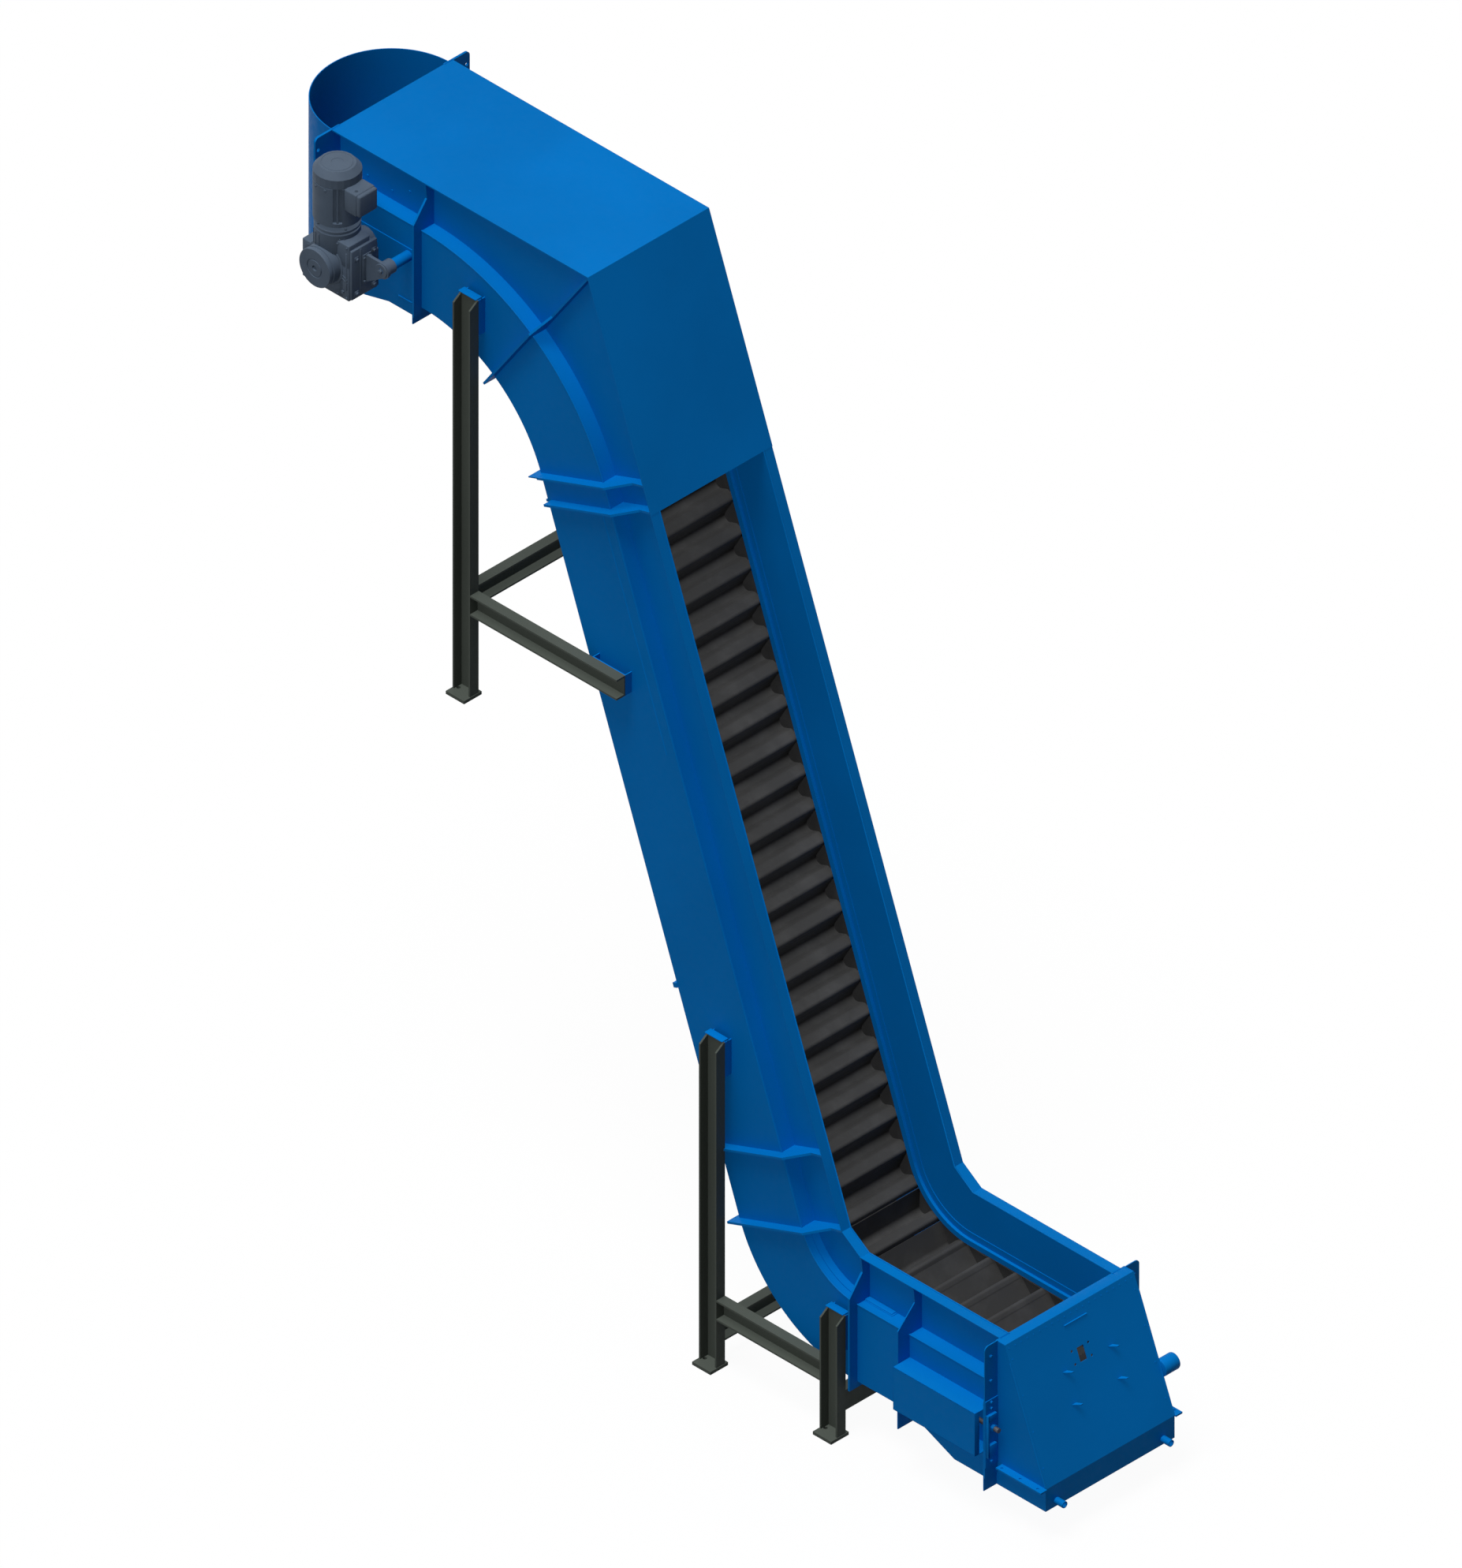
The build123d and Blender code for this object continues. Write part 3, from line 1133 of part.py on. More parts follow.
def channel_points(side, along):
    """Channel cross-section with its web back at zero, opening to the given side."""
    half = CHANNEL_HEIGHT / 2
    points = [
        (-half, 0),
        (half, 0),
        (half, CHANNEL_WIDTH),
        (half - CHANNEL_FLANGE, CHANNEL_WIDTH),
        (half - CHANNEL_FLANGE, CHANNEL_WEB),
        (-half + CHANNEL_FLANGE, CHANNEL_WEB),
        (-half + CHANNEL_FLANGE, CHANNEL_WIDTH),
        (-half, CHANNEL_WIDTH),
    ]
    return [(along + a, side * b) for a, b in points]


def leg(x, floor, top):
    """Drive-side leg with chamfered flange tops on a drilled foot plate."""
    points = channel_points(-1, x)
    face = polygon([(a, -LEG_BACK_Y + b, floor + FOOT_SHEET) for a, b in points])
    shape = extrude(face, amount=top - floor - FOOT_SHEET, dir=(0, 0, 1))
    cut = polygon([
        (x - CHANNEL_HEIGHT, -LEG_BACK_Y - CHANNEL_WEB, top),
        (x - CHANNEL_HEIGHT, -LEG_BACK_Y - CHANNEL_WIDTH, top),
        (x - CHANNEL_HEIGHT, -LEG_BACK_Y - CHANNEL_WIDTH, top - CHANNEL_CHAMFER),
    ])
    shape -= extrude(cut, amount=2 * CHANNEL_HEIGHT, dir=(1, 0, 0))
    foot_y = LEG_BACK_Y - FOOT_INSET + FOOT_WIDTH / 2
    foot = Pos(x, -foot_y, floor + FOOT_SHEET / 2) * Box(FOOT_LENGTH, FOOT_WIDTH, FOOT_SHEET)
    foot -= rod_z(x + FOOT_HOLE_SHIFT, -FOOT_HOLE_OUT, FOOT_HOLE_RADIUS, floor, floor + FOOT_SHEET)
    return shape + foot


leg_places = {
    "head_legs": (HEAD_LEG_X, HEAD_LEG_FLOOR, HEAD_LEG_TOP),
    "rear_legs": (REAR_LEG_X, 0, REAR_LEG_TOP),
    "front_legs": (FRONT_LEG_X, 0, FRONT_LEG_TOP),
}
brackets = []
for name, (x, floor, top) in leg_places.items():
    parts[name] = mirrored(leg(x, floor, top))
    half = CHANNEL_HEIGHT / 2
    passing = block((x - half, x + half), (-LEG_BACK_Y - CHANNEL_WIDTH, -LEG_BACK_Y), (floor, top))
    for section in ("incline_foot", "incline_lower"):
        parts[section] -= passing
        parts[section] -= mirror(passing, Plane.XZ)
    outer = block((x - half, x + half), (-LEG_BACK_Y, -HALF_WIDTH), (top - BRACKET_HEIGHT, top))
    room = block(
        (x - half + BRACKET_SHEET, x + half - BRACKET_SHEET),
        (-LEG_BACK_Y + BRACKET_SHEET, -HALF_WIDTH),
        (top - BRACKET_HEIGHT, top),
    )
    brackets.append(outer - room)


def brace_x(low, high, z):
    """Drive-side channel along X, opening outward like the legs."""
    half = CHANNEL_HEIGHT / 2
    points = [(low, -LEG_BACK_Y + b, z + half + a) for a, b in channel_points(-1, 0)]
    return extrude(polygon(points), amount=high - low, dir=(1, 0, 0))


def tie_y(x, z, side):
    """Channel across the machine between the legs, opening along X."""
    half = CHANNEL_HEIGHT / 2
    points = [(x + side * b, -LEG_BACK_Y, z + half + a) for a, b in channel_points(1, 0)]
    return extrude(polygon(points), amount=2 * LEG_BACK_Y, dir=ALONG_Y)


half_leg = CHANNEL_HEIGHT / 2
parts["head_cross_braces"] = mirrored(brace_x(HEAD_LEG_X + half_leg, HEAD_BRACE_END_X, HEAD_BRACE_Z))
parts["lower_cross_braces"] = mirrored(
    brace_x(REAR_LEG_X + half_leg, FRONT_LEG_X - half_leg, LOWER_BRACE_Z)
)
parts["head_tie"] = tie_y(HEAD_LEG_X - TIE_SHIFT, HEAD_BRACE_Z, 1)
rear_tie = tie_y(REAR_LEG_X - TIE_SHIFT, REAR_TIE_Z, 1)
front_tie = tie_y(FRONT_LEG_X + TIE_SHIFT, FRONT_TIE_Z, -1)
parts["lower_ties"] = Compound([rear_tie, front_tie])
brace_bracket = block(
    (HEAD_BRACE_END_X - HEAD_BRACE_BRACKET, HEAD_BRACE_END_X),
    (-LEG_BACK_Y, -HALF_WIDTH),
    (HEAD_BRACE_Z, HEAD_BRACE_Z + CHANNEL_HEIGHT),
)
brace_bracket -= block(
    (HEAD_BRACE_END_X - HEAD_BRACE_BRACKET + BRACKET_SHEET, HEAD_BRACE_END_X - BRACKET_SHEET),
    (-LEG_BACK_Y + BRACKET_SHEET, -HALF_WIDTH),
    (HEAD_BRACE_Z, HEAD_BRACE_Z + CHANNEL_HEIGHT),
)
brackets.append(brace_bracket)
parts["leg_brackets"] = mirrored(Compound(brackets))

# head bearings on both walls
bearing = prism_y(HEAD_SHAFT_X, HEAD_SHAFT_Z, BEARING_RADIUS, MOTOR_SIDES, GEAR_Y[1], -HALF_WIDTH)
bearing -= rod_y(HEAD_SHAFT_X, HEAD_SHAFT_Z, bearing_bore, GEAR_Y[1], -HALF_WIDTH)
parts["head_bearings"] = mirrored(bearing)

# gear unit on the head shaft
housing = block(GEAR_X, GEAR_Y, GEAR_Z)
housing -= block(
    (GEAR_X[0] + GEAR_WALL, GEAR_X[1] - GEAR_WALL),
    (GEAR_Y[0] + GEAR_WALL, GEAR_Y[1] - GEAR_WALL),
    (GEAR_Z[0] + GEAR_WALL, GEAR_Z[1] - GEAR_WALL),
)
housing -= rod_y(HEAD_SHAFT_X, HEAD_SHAFT_Z, bearing_bore, GEAR_Y[0], GEAR_Y[1])
motor_hole = MOTOR_SHAFT_RADIUS + BORE_CLEARANCE
shaft_room = MOTOR_SHAFT_RADIUS + SLOT_MARGIN
housing -= prism_z(HEAD_SHAFT_X, MOTOR_Y, shaft_room, INNER_SIDES, GEAR_Z[1] - GEAR_WALL, GEAR_Z[1])
parts["gear_housing"] = housing
cover_end = GEAR_Y[0] - HUB_COVER_LENGTH
hub_room = SHAFT_RADIUS + SLOT_MARGIN
hub_cover = prism_y(HEAD_SHAFT_X, HEAD_SHAFT_Z, HUB_COVER_RADIUS, HUB_COVER_SIDES, cover_end, GEAR_Y[0])
hub_cover -= prism_y(HEAD_SHAFT_X, HEAD_SHAFT_Z, hub_room, INNER_SIDES, hub_end - SLOT_MARGIN, GEAR_Y[0])
parts["gear_hub_cover"] = hub_cover
parts["gear_side_cover"] = block(
    (GEAR_X[1], GEAR_X[1] + SIDE_COVER_SHEET),
    SIDE_COVER_Y,
    (GEAR_Z[0] + GEAR_WALL, TORQUE_PIN_Z - ARM_HEIGHT / 2 - GEAR_WALL),
)

# motor above the gear unit
adapter_top = GEAR_Z[1] + ADAPTER_HEIGHT
motor_top = adapter_top + MOTOR_LENGTH
adapter = prism_z(HEAD_SHAFT_X, MOTOR_Y, ADAPTER_RADIUS, MOTOR_SIDES, GEAR_Z[1], adapter_top)
adapter -= rod_z(HEAD_SHAFT_X, MOTOR_Y, motor_hole, GEAR_Z[1], adapter_top)
parts["motor_adapter"] = adapter
room_low = adapter_top + MOTOR_WALL
room_high = motor_top - MOTOR_WALL
room = MOTOR_RADIUS - MOTOR_WALL
motor = prism_z(HEAD_SHAFT_X, MOTOR_Y, MOTOR_RADIUS, MOTOR_SIDES, adapter_top, motor_top)
motor -= prism_z(HEAD_SHAFT_X, MOTOR_Y, room, INNER_SIDES, room_low, room_high)
motor -= prism_z(HEAD_SHAFT_X, MOTOR_Y, shaft_room, INNER_SIDES, adapter_top, motor_top)
parts["motor_housing"] = motor
cowl_shoulder = motor_top + COWL_LENGTH
cowl = prism_z(HEAD_SHAFT_X, MOTOR_Y, MOTOR_RADIUS, MOTOR_SIDES, motor_top, cowl_shoulder)
cone_rings = [
    Pos(HEAD_SHAFT_X, MOTOR_Y, cowl_shoulder) * RegularPolygon(MOTOR_RADIUS, MOTOR_SIDES),
    Pos(HEAD_SHAFT_X, MOTOR_Y, cowl_shoulder + COWL_CONE) * RegularPolygon(COWL_TOP_RADIUS, MOTOR_SIDES),
]
cowl += loft(cone_rings, ruled=True)
cowl_room = MOTOR_RADIUS - COWL_WALL
cowl -= prism_z(HEAD_SHAFT_X, MOTOR_Y, cowl_room, MOTOR_SIDES, motor_top, cowl_shoulder - COWL_WALL)
parts["fan_cowl"] = cowl
rotor_low = adapter_top + (MOTOR_LENGTH - ROTOR_LENGTH) / 2
rotor_high = rotor_low + ROTOR_LENGTH
fan_low = motor_top + BAR_GAP + COWL_WALL
fan_high = fan_low + FAN_HEIGHT
rotor = rod_z(HEAD_SHAFT_X, MOTOR_Y, MOTOR_SHAFT_RADIUS, GEAR_Z[1] - 2 * GEAR_WALL, fan_high)
rotor += prism_z(HEAD_SHAFT_X, MOTOR_Y, ROTOR_RADIUS, INNER_SIDES, rotor_low, rotor_high)
parts["motor_rotor"] = rotor
fan = prism_z(HEAD_SHAFT_X, MOTOR_Y, FAN_RADIUS, INNER_SIDES, fan_low, fan_high)
fan -= rod_z(HEAD_SHAFT_X, MOTOR_Y, MOTOR_SHAFT_RADIUS, fan_low, fan_high)
parts["motor_fan"] = fan
box_x = (HEAD_SHAFT_X + MOTOR_RADIUS - COWL_WALL, HEAD_SHAFT_X + MOTOR_RADIUS + TERMINAL_SIZE[0])
box_y = (MOTOR_Y - TERMINAL_SIZE[1] / 2, MOTOR_Y + TERMINAL_SIZE[1] / 2)
terminal = block(box_x, box_y, (motor_top - TERMINAL_SIZE[2], motor_top))
terminal -= prism_z(HEAD_SHAFT_X, MOTOR_Y, MOTOR_RADIUS, MOTOR_SIDES, adapter_top, cowl_shoulder)
parts["terminal_box"] = terminal

# torque arm from the gear unit to a pin on the casing wall
arm_y = (ARM_Y - ARM_SHEET / 2, ARM_Y + ARM_SHEET / 2)
arm_z = (TORQUE_PIN_Z - ARM_HEIGHT / 2, TORQUE_PIN_Z + ARM_HEIGHT / 2)
arm = block((GEAR_X[1], TORQUE_PIN_X), arm_y, arm_z)
arm += rod_y(TORQUE_PIN_X, TORQUE_PIN_Z, ARM_HEIGHT / 2, arm_y[0], arm_y[1])
arm -= prism_y(TORQUE_PIN_X, TORQUE_PIN_Z, BUSH_RADIUS, BUSH_SIDES, arm_y[0], arm_y[1])
parts["torque_arm"] = arm
bush_y = (ARM_Y - BUSH_LENGTH / 2, ARM_Y + BUSH_LENGTH / 2)
bush = prism_y(TORQUE_PIN_X, TORQUE_PIN_Z, BUSH_RADIUS, BUSH_SIDES, bush_y[0], bush_y[1])
bush -= prism_y(TORQUE_PIN_X, TORQUE_PIN_Z, TORQUE_PIN_RADIUS, BUSH_SIDES, bush_y[0], bush_y[1])
parts["torque_bush"] = bush
pad_y = -HALF_WIDTH - GUIDE_SHEET
pin = prism_y(TORQUE_PIN_X, TORQUE_PIN_Z, TORQUE_PIN_RADIUS, BUSH_SIDES, bush_y[0], -HALF_WIDTH)
pin += prism_y(TORQUE_PIN_X, TORQUE_PIN_Z, 2 * TORQUE_PIN_RADIUS, BUSH_SIDES, pad_y, -HALF_WIDTH)
parts["torque_pin"] = pin

# raised cover plate on the shelf beside the loading opening
cover_start = TAIL_JOINT_X - SHELF_COVER_BACK
parts["shelf_cover"] = block(
    (cover_start, cover_start + SHELF_COVER_LENGTH),
    (-HALF_WIDTH, -UPPER_HALF_WIDTH),
    (shelf_z, shelf_z + SHELF_COVER_SHEET),
)

os.makedirs("parts", exist_ok=True)
for name, shape in parts.items():
    export_step(shape, f"parts/{name}.step")
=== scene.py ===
import json
import math

import bmesh
import bpy
from mathutils import Matrix, Vector

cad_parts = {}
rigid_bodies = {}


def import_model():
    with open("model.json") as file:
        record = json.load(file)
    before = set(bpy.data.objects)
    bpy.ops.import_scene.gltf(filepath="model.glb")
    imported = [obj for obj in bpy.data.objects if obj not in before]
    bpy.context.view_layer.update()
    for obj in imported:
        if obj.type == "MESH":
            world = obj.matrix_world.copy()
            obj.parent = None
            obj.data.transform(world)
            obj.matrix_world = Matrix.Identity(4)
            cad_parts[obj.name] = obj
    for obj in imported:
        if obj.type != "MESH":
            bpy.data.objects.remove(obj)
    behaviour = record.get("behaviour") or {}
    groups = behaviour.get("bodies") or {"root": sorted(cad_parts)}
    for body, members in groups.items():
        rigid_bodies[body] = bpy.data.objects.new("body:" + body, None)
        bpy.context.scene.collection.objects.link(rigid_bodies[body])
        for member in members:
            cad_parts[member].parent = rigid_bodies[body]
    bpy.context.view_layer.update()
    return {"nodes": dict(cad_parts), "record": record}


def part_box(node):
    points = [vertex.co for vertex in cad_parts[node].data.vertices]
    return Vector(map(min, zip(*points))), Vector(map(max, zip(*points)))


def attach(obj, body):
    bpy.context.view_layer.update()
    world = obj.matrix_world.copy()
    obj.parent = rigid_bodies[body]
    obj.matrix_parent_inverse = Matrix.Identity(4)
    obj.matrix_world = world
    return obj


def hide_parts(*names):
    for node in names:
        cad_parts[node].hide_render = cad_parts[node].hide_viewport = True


# Dresses the swan-neck bucket elevator: painted casing, grey channel legs, dark
# overlapping pans and the slate gear motor, in metres in the frame of the solids.

# The view is isometric: all three axes are foreshortened alike.
VIEW_HEIGHT = 6.330
VIEW_CENTRE = Vector((-0.6737, 0.0405, 2.450))
VIEW_DISTANCE = 14.0
VIEW_AZIMUTH = 45.0
VIEW_ELEVATION = 35.264

# paints and metals as display colours from 0 to 1
BLUE_PAINT = (0.0, 0.443, 0.753)
FRAME_PAINT = (0.314, 0.337, 0.314)
PAN_PAINT = (0.275, 0.275, 0.275)
GEAR_PAINT = (0.33, 0.385, 0.452)
CHAIN_COLOUR = (0.2, 0.2, 0.205)
RAIL_COLOUR = (0.3, 0.3, 0.31)
SHAFT_COLOUR = (0.42, 0.42, 0.43)
IRON_COLOUR = (0.22, 0.225, 0.235)
RUBBER_COLOUR = (0.06, 0.06, 0.06)
PLASTIC_COLOUR = (0.08, 0.08, 0.085)

# light levels: the sum on a level face is one, so a colour renders as written
LEVEL_LIGHT = 0.85
WALL_LIGHT = 0.27
SKY_LIGHT = 0.15
SHADOW_SHARE = 0.3
LAMP_SPREAD = math.radians(25.0)
FLOOR_SHADOW = 0.12


def linear(colour):
    """Display colour to the linear values that shaders use."""
    values = []
    for part in colour:
        values.append(part / 12.92 if part <= 0.04045 else ((part + 0.055) / 1.055) ** 2.4)
    return tuple(values) + (1.0,)


class Wire:
    """One output of a shader node, so that shader maths reads as an expression."""

    def __init__(self, shader, socket):
        self.shader = shader
        self.socket = socket

    def math(self, operation, other):
        return self.shader.node("ShaderNodeMath", {"operation": operation}, {0: self, 1: other})

    def __add__(self, other):
        return self.math("ADD", other)

    def __mul__(self, other):
        return self.math("MULTIPLY", other)

    __radd__ = __add__
    __rmul__ = __mul__


class Shader:
    """A node material under construction."""

    def __init__(self, name):
        self.material = bpy.data.materials.new(name)
        self.material.use_nodes = True
        self.tree = self.material.node_tree
        self.tree.nodes.clear()
        self.place = self.node("ShaderNodeTexCoord", {}, {}, "Object")

    def node(self, kind, settings, inputs, output=0):
        """A new node with its settings and inputs, as the wire from one of its outputs."""
        made = self.tree.nodes.new(kind)
        for key, value in settings.items():
            setattr(made, key, value)
        for key, value in inputs.items():
            if isinstance(value, Wire):
                self.tree.links.new(value.socket, made.inputs[key])
            else:
                made.inputs[key].default_value = value
        return Wire(self, made.outputs[output])

    def noise(self, scale, detail=3.0, roughness=0.5, stretch=(1.0, 1.0, 1.0)):
        """Noise in object coordinates, stretched along the axes."""
        spot = self.node("ShaderNodeMapping", {}, {"Vector": self.place, "Scale": stretch})
        values = {"Vector": spot, "Scale": scale, "Detail": detail, "Roughness": roughness}
        return self.node("ShaderNodeTexNoise", {}, values, "Fac")

    def spread(self, value, low, high, start=0.0, end=1.0):
        """A value mapped from one range to another."""
        limits = {"Value": value, "From Min": start, "From Max": end, "To Min": low, "To Max": high}
        return self.node("ShaderNodeMapRange", {}, limits)

    def mix(self, share, first, second):
        """Two colours mixed by a share."""
        colours = {"Factor": share, 6: first, 7: second}
        return self.node("ShaderNodeMix", {"data_type": "RGBA"}, colours, 2)

    def bump(self, height, strength, distance):
        """Normals tilted by a height over the surface."""
        values = {"Height": height, "Strength": strength, "Distance": distance}
        return self.node("ShaderNodeBump", {}, values, "Normal")

    def finish(self, inputs):
        """The finished material with a principled surface."""
        self.show(self.node("ShaderNodeBsdfPrincipled", {}, inputs))
        return self.material

    def show(self, surface):
        """Link a surface to the material's output."""
        out = self.tree.nodes.new("ShaderNodeOutputMaterial")
        self.tree.links.new(surface.socket, out.inputs["Surface"])


def shade(colour, factor):
    """Linear colour made lighter or darker by a factor."""
    return tuple(min(1.0, part * factor) for part in linear(colour)[:3]) + (1.0,)


def sprayed_paint(name, colour, tone=0.06, dust=0.10):
    """Sprayed machine paint: faint orange peel, slow tone drift and a little settled dust."""
    shader = Shader(name)
    drift = shader.noise(1.3, 4.0)
    fine = shader.noise(38.0, 2.0)
    slow = shader.spread(drift, 0.0, 1.0, 0.35, 0.65)
    tint = shader.mix(slow, shade(colour, 1 - tone), shade(colour, 1 + tone))
    grime = shader.noise(5.5, 6.0, 0.65)
    settled = shader.spread(grime, 0.0, dust, 0.56, 0.78)
    tint = shader.mix(settled, tint, shade(colour, 0.72))
    peel = shader.noise(260.0, 2.0, 0.4)
    rough = shader.spread(fine, 0.42, 0.56, 0.3, 0.7)
    return shader.finish({
        "Base Color": tint,
        "Roughness": rough,
        "Specular IOR Level": 0.04,
        "Normal": shader.bump(peel, 0.05, 0.0004),
    })


def rolled_steel(name, colour, metal, grain=(1.0, 1.0, 1.0), rough=(0.4, 0.6)):
    """Bare or blackened steel with rolling marks along one direction and rubbed patches."""
    shader = Shader(name)
    marks = shader.noise(90.0, 3.0, 0.6, grain)
    patches = shader.noise(7.0, 5.0, 0.6)
    worn = shader.spread(patches, 0.0, 1.0, 0.45, 0.7)
    tint = shader.mix(worn, shade(colour, 0.86), shade(colour, 1.12))
    return shader.finish({
        "Base Color": tint,
        "Roughness": shader.spread(marks, rough[0], rough[1], 0.3, 0.7),
        "Metallic": metal,
        "Specular IOR Level": 0.06,
        "Normal": shader.bump(marks, 0.08, 0.0005),
    })


def cast_iron(name, colour):
    """Painted casting with a coarse skin."""
    shader = Shader(name)
    skin = shader.noise(150.0, 4.0, 0.7)
    tone = shader.noise(9.0, 3.0)
    slow = shader.spread(tone, 0.0, 1.0, 0.35, 0.65)
    tint = shader.mix(slow, shade(colour, 0.93), shade(colour, 1.06))
    return shader.finish({
        "Base Color": tint,
        "Roughness": shader.spread(skin, 0.45, 0.62, 0.3, 0.7),
        "Specular IOR Level": 0.1,
        "Normal": shader.bump(skin, 0.16, 0.0008),
    })


def moulded(name, colour):
    """Rubber or plastic with a fine matte grain."""
    shader = Shader(name)
    grain = shader.noise(420.0, 2.0)
    return shader.finish({
        "Base Color": shader.mix(grain, shade(colour, 0.85), shade(colour, 1.15)),
        "Roughness": shader.spread(grain, 0.65, 0.85),
        "Specular IOR Level": 0.2,
        "Normal": shader.bump(grain, 0.1, 0.0003),
    })


finishes = {
    "casing_blue": sprayed_paint("casing_blue_paint", BLUE_PAINT),
    "chute_blue": sprayed_paint("chute_blue_paint", BLUE_PAINT),
    "guard_blue": sprayed_paint("guard_blue_paint", BLUE_PAINT),
    "frame_grey": sprayed_paint("frame_grey_paint", FRAME_PAINT),
    "pan_steel": rolled_steel("pan_steel_plate", PAN_PAINT, 0.0, (1.0, 0.08, 1.0)),
    "chain_steel": rolled_steel("chain_steel_bar", CHAIN_COLOUR, 0.0),
    "rail_steel": rolled_steel("rail_steel_bar", RAIL_COLOUR, 0.0),
    "sprocket_steel": cast_iron("sprocket_casting", IRON_COLOUR),
    "shaft_steel": rolled_steel("turned_shaft_steel", SHAFT_COLOUR, 0.6, (1.0, 8.0, 1.0)),
    "gear_grey": cast_iron("gear_grey_casting", GEAR_PAINT),
    "motor_grey": cast_iron("motor_grey_casting", GEAR_PAINT),
    "rotor_steel": rolled_steel("rotor_steel_core", SHAFT_COLOUR, 0.6),
    "fan_plastic": moulded("fan_black_plastic", PLASTIC_COLOUR),
    "bush_rubber": moulded("bush_grey_rubber", RUBBER_COLOUR),
    "bearing_iron": cast_iron("bearing_casting", IRON_COLOUR),
}

scene = bpy.context.scene
for leftover in list(bpy.data.objects):
    bpy.data.objects.remove(leftover)

# camera
azimuth = math.radians(VIEW_AZIMUTH)
elevation = math.radians(VIEW_ELEVATION)
backward = Vector((
    math.cos(elevation) * math.cos(azimuth),
    -math.cos(elevation) * math.sin(azimuth),
    math.sin(elevation),
))
sideways = Vector((math.sin(azimuth), math.cos(azimuth), 0.0))
upward = backward.cross(sideways)
lens = bpy.data.cameras.new("camera")
lens.type = "ORTHO"
lens.ortho_scale = VIEW_HEIGHT
lens.clip_end = 100.0
camera = bpy.data.objects.new("camera", lens)
turn = Matrix((sideways, upward, backward)).transposed().to_4x4()
camera.matrix_world = Matrix.Translation(VIEW_CENTRE + backward * VIEW_DISTANCE) @ turn
scene.collection.objects.link(camera)
scene.camera = camera

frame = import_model()
nodes = frame["nodes"]
slot_of = {}
for part in frame["record"]["subparts"]:
    slot_of[part["node"]] = part["material_slot"]
for name, node in nodes.items():
    node.data.materials.clear()
    node.data.materials.append(finishes[slot_of[name]])

# fineness of curved lines, angles up to which meshes shade smoothly, the sheets, and how
# deep a flange is rooted in its wall
ARC_STEPS = 28
TURN_STEPS = 72
SHEET_SMOOTH = 25.0
CASTING_SMOOTH = 35.0
FOLD_RADIUS = 0.0035
SHEET = 0.003
FLANGE_SHEET = 0.005
ROOTED = 0.0015

# key places of the casing in metres, in the frame of the solids
TILT = math.radians(70.0)
TAIL_BACK = 0.2668
LOADING = 0.80025
CONCAVE_X = 0.45205
CONCAVE_RADIUS = 0.710
CONVEX_RADIUS = 0.731
INCLINE = 3.3166
HEAD_LENGTH = 0.5344
HALF_WIDTH = 0.368
UPPER_HALF = 0.297
SHELF = 0.380
LIP = 0.597
LIP_OUT = 0.049
CONCAVE_Z = TAIL_BACK + CONCAVE_RADIUS
FOOT = (CONCAVE_X - CONCAVE_RADIUS * math.sin(TILT), CONCAVE_Z - CONCAVE_RADIUS * math.cos(TILT))
TOP = (FOOT[0] - INCLINE * math.cos(TILT), FOOT[1] + INCLINE * math.sin(TILT))
CONVEX = (TOP[0] - CONVEX_RADIUS * math.sin(TILT), TOP[1] - CONVEX_RADIUS * math.cos(TILT))
HEAD_BACK = CONVEX[1] + CONVEX_RADIUS
HEAD_END_X = CONVEX[0] - HEAD_LENGTH
TAIL_JOINT_X = CONCAVE_X + LOADING

# places up the incline: its joints, the stub behind it and the lower edge of the cover
FOOT_JOINT = 0.335
STUB_AT = 1.030
MIDDLE_JOINT = 1.5754
SPACER_LOW = 2.638
SPACER_HIGH = 2.7327
WINDOW_JOINT = 3.1972
WINDOW_TOP = INCLINE - 0.129
JOINT_GAP = 0.0004

# directions
UP = (0.0, 0.0, 1.0)
NEAR = (0.0, -1.0, 0.0)
TAILWARD = (1.0, 0.0, 0.0)
UP_INCLINE = Vector((-math.cos(TILT), 0.0, math.sin(TILT)))


def incline_point(distance, out):
    """XZ place a distance up the incline and out from the back sheet."""
    x = FOOT[0] - distance * math.cos(TILT) + out * math.sin(TILT)
    return x, FOOT[1] + distance * math.sin(TILT) + out * math.cos(TILT)


def casing_line(y, out, head_x, tail_x):
    """Points along the whole casing at one width and one height over the back sheet."""
    line = [(head_x, y, HEAD_BACK + out)]
    for step in range(ARC_STEPS + 1):
        turn = TILT * step / ARC_STEPS
        reach = CONVEX_RADIUS + out
        line.append((CONVEX[0] + reach * math.sin(turn), y, CONVEX[1] + reach * math.cos(turn)))
    for step in range(ARC_STEPS + 1):
        turn = TILT * (1 - step / ARC_STEPS)
        reach = CONCAVE_RADIUS - out
        line.append((CONCAVE_X - reach * math.sin(turn), y, CONCAVE_Z - reach * math.cos(turn)))
    line.append((tail_x, y, TAIL_BACK + out))
    return line


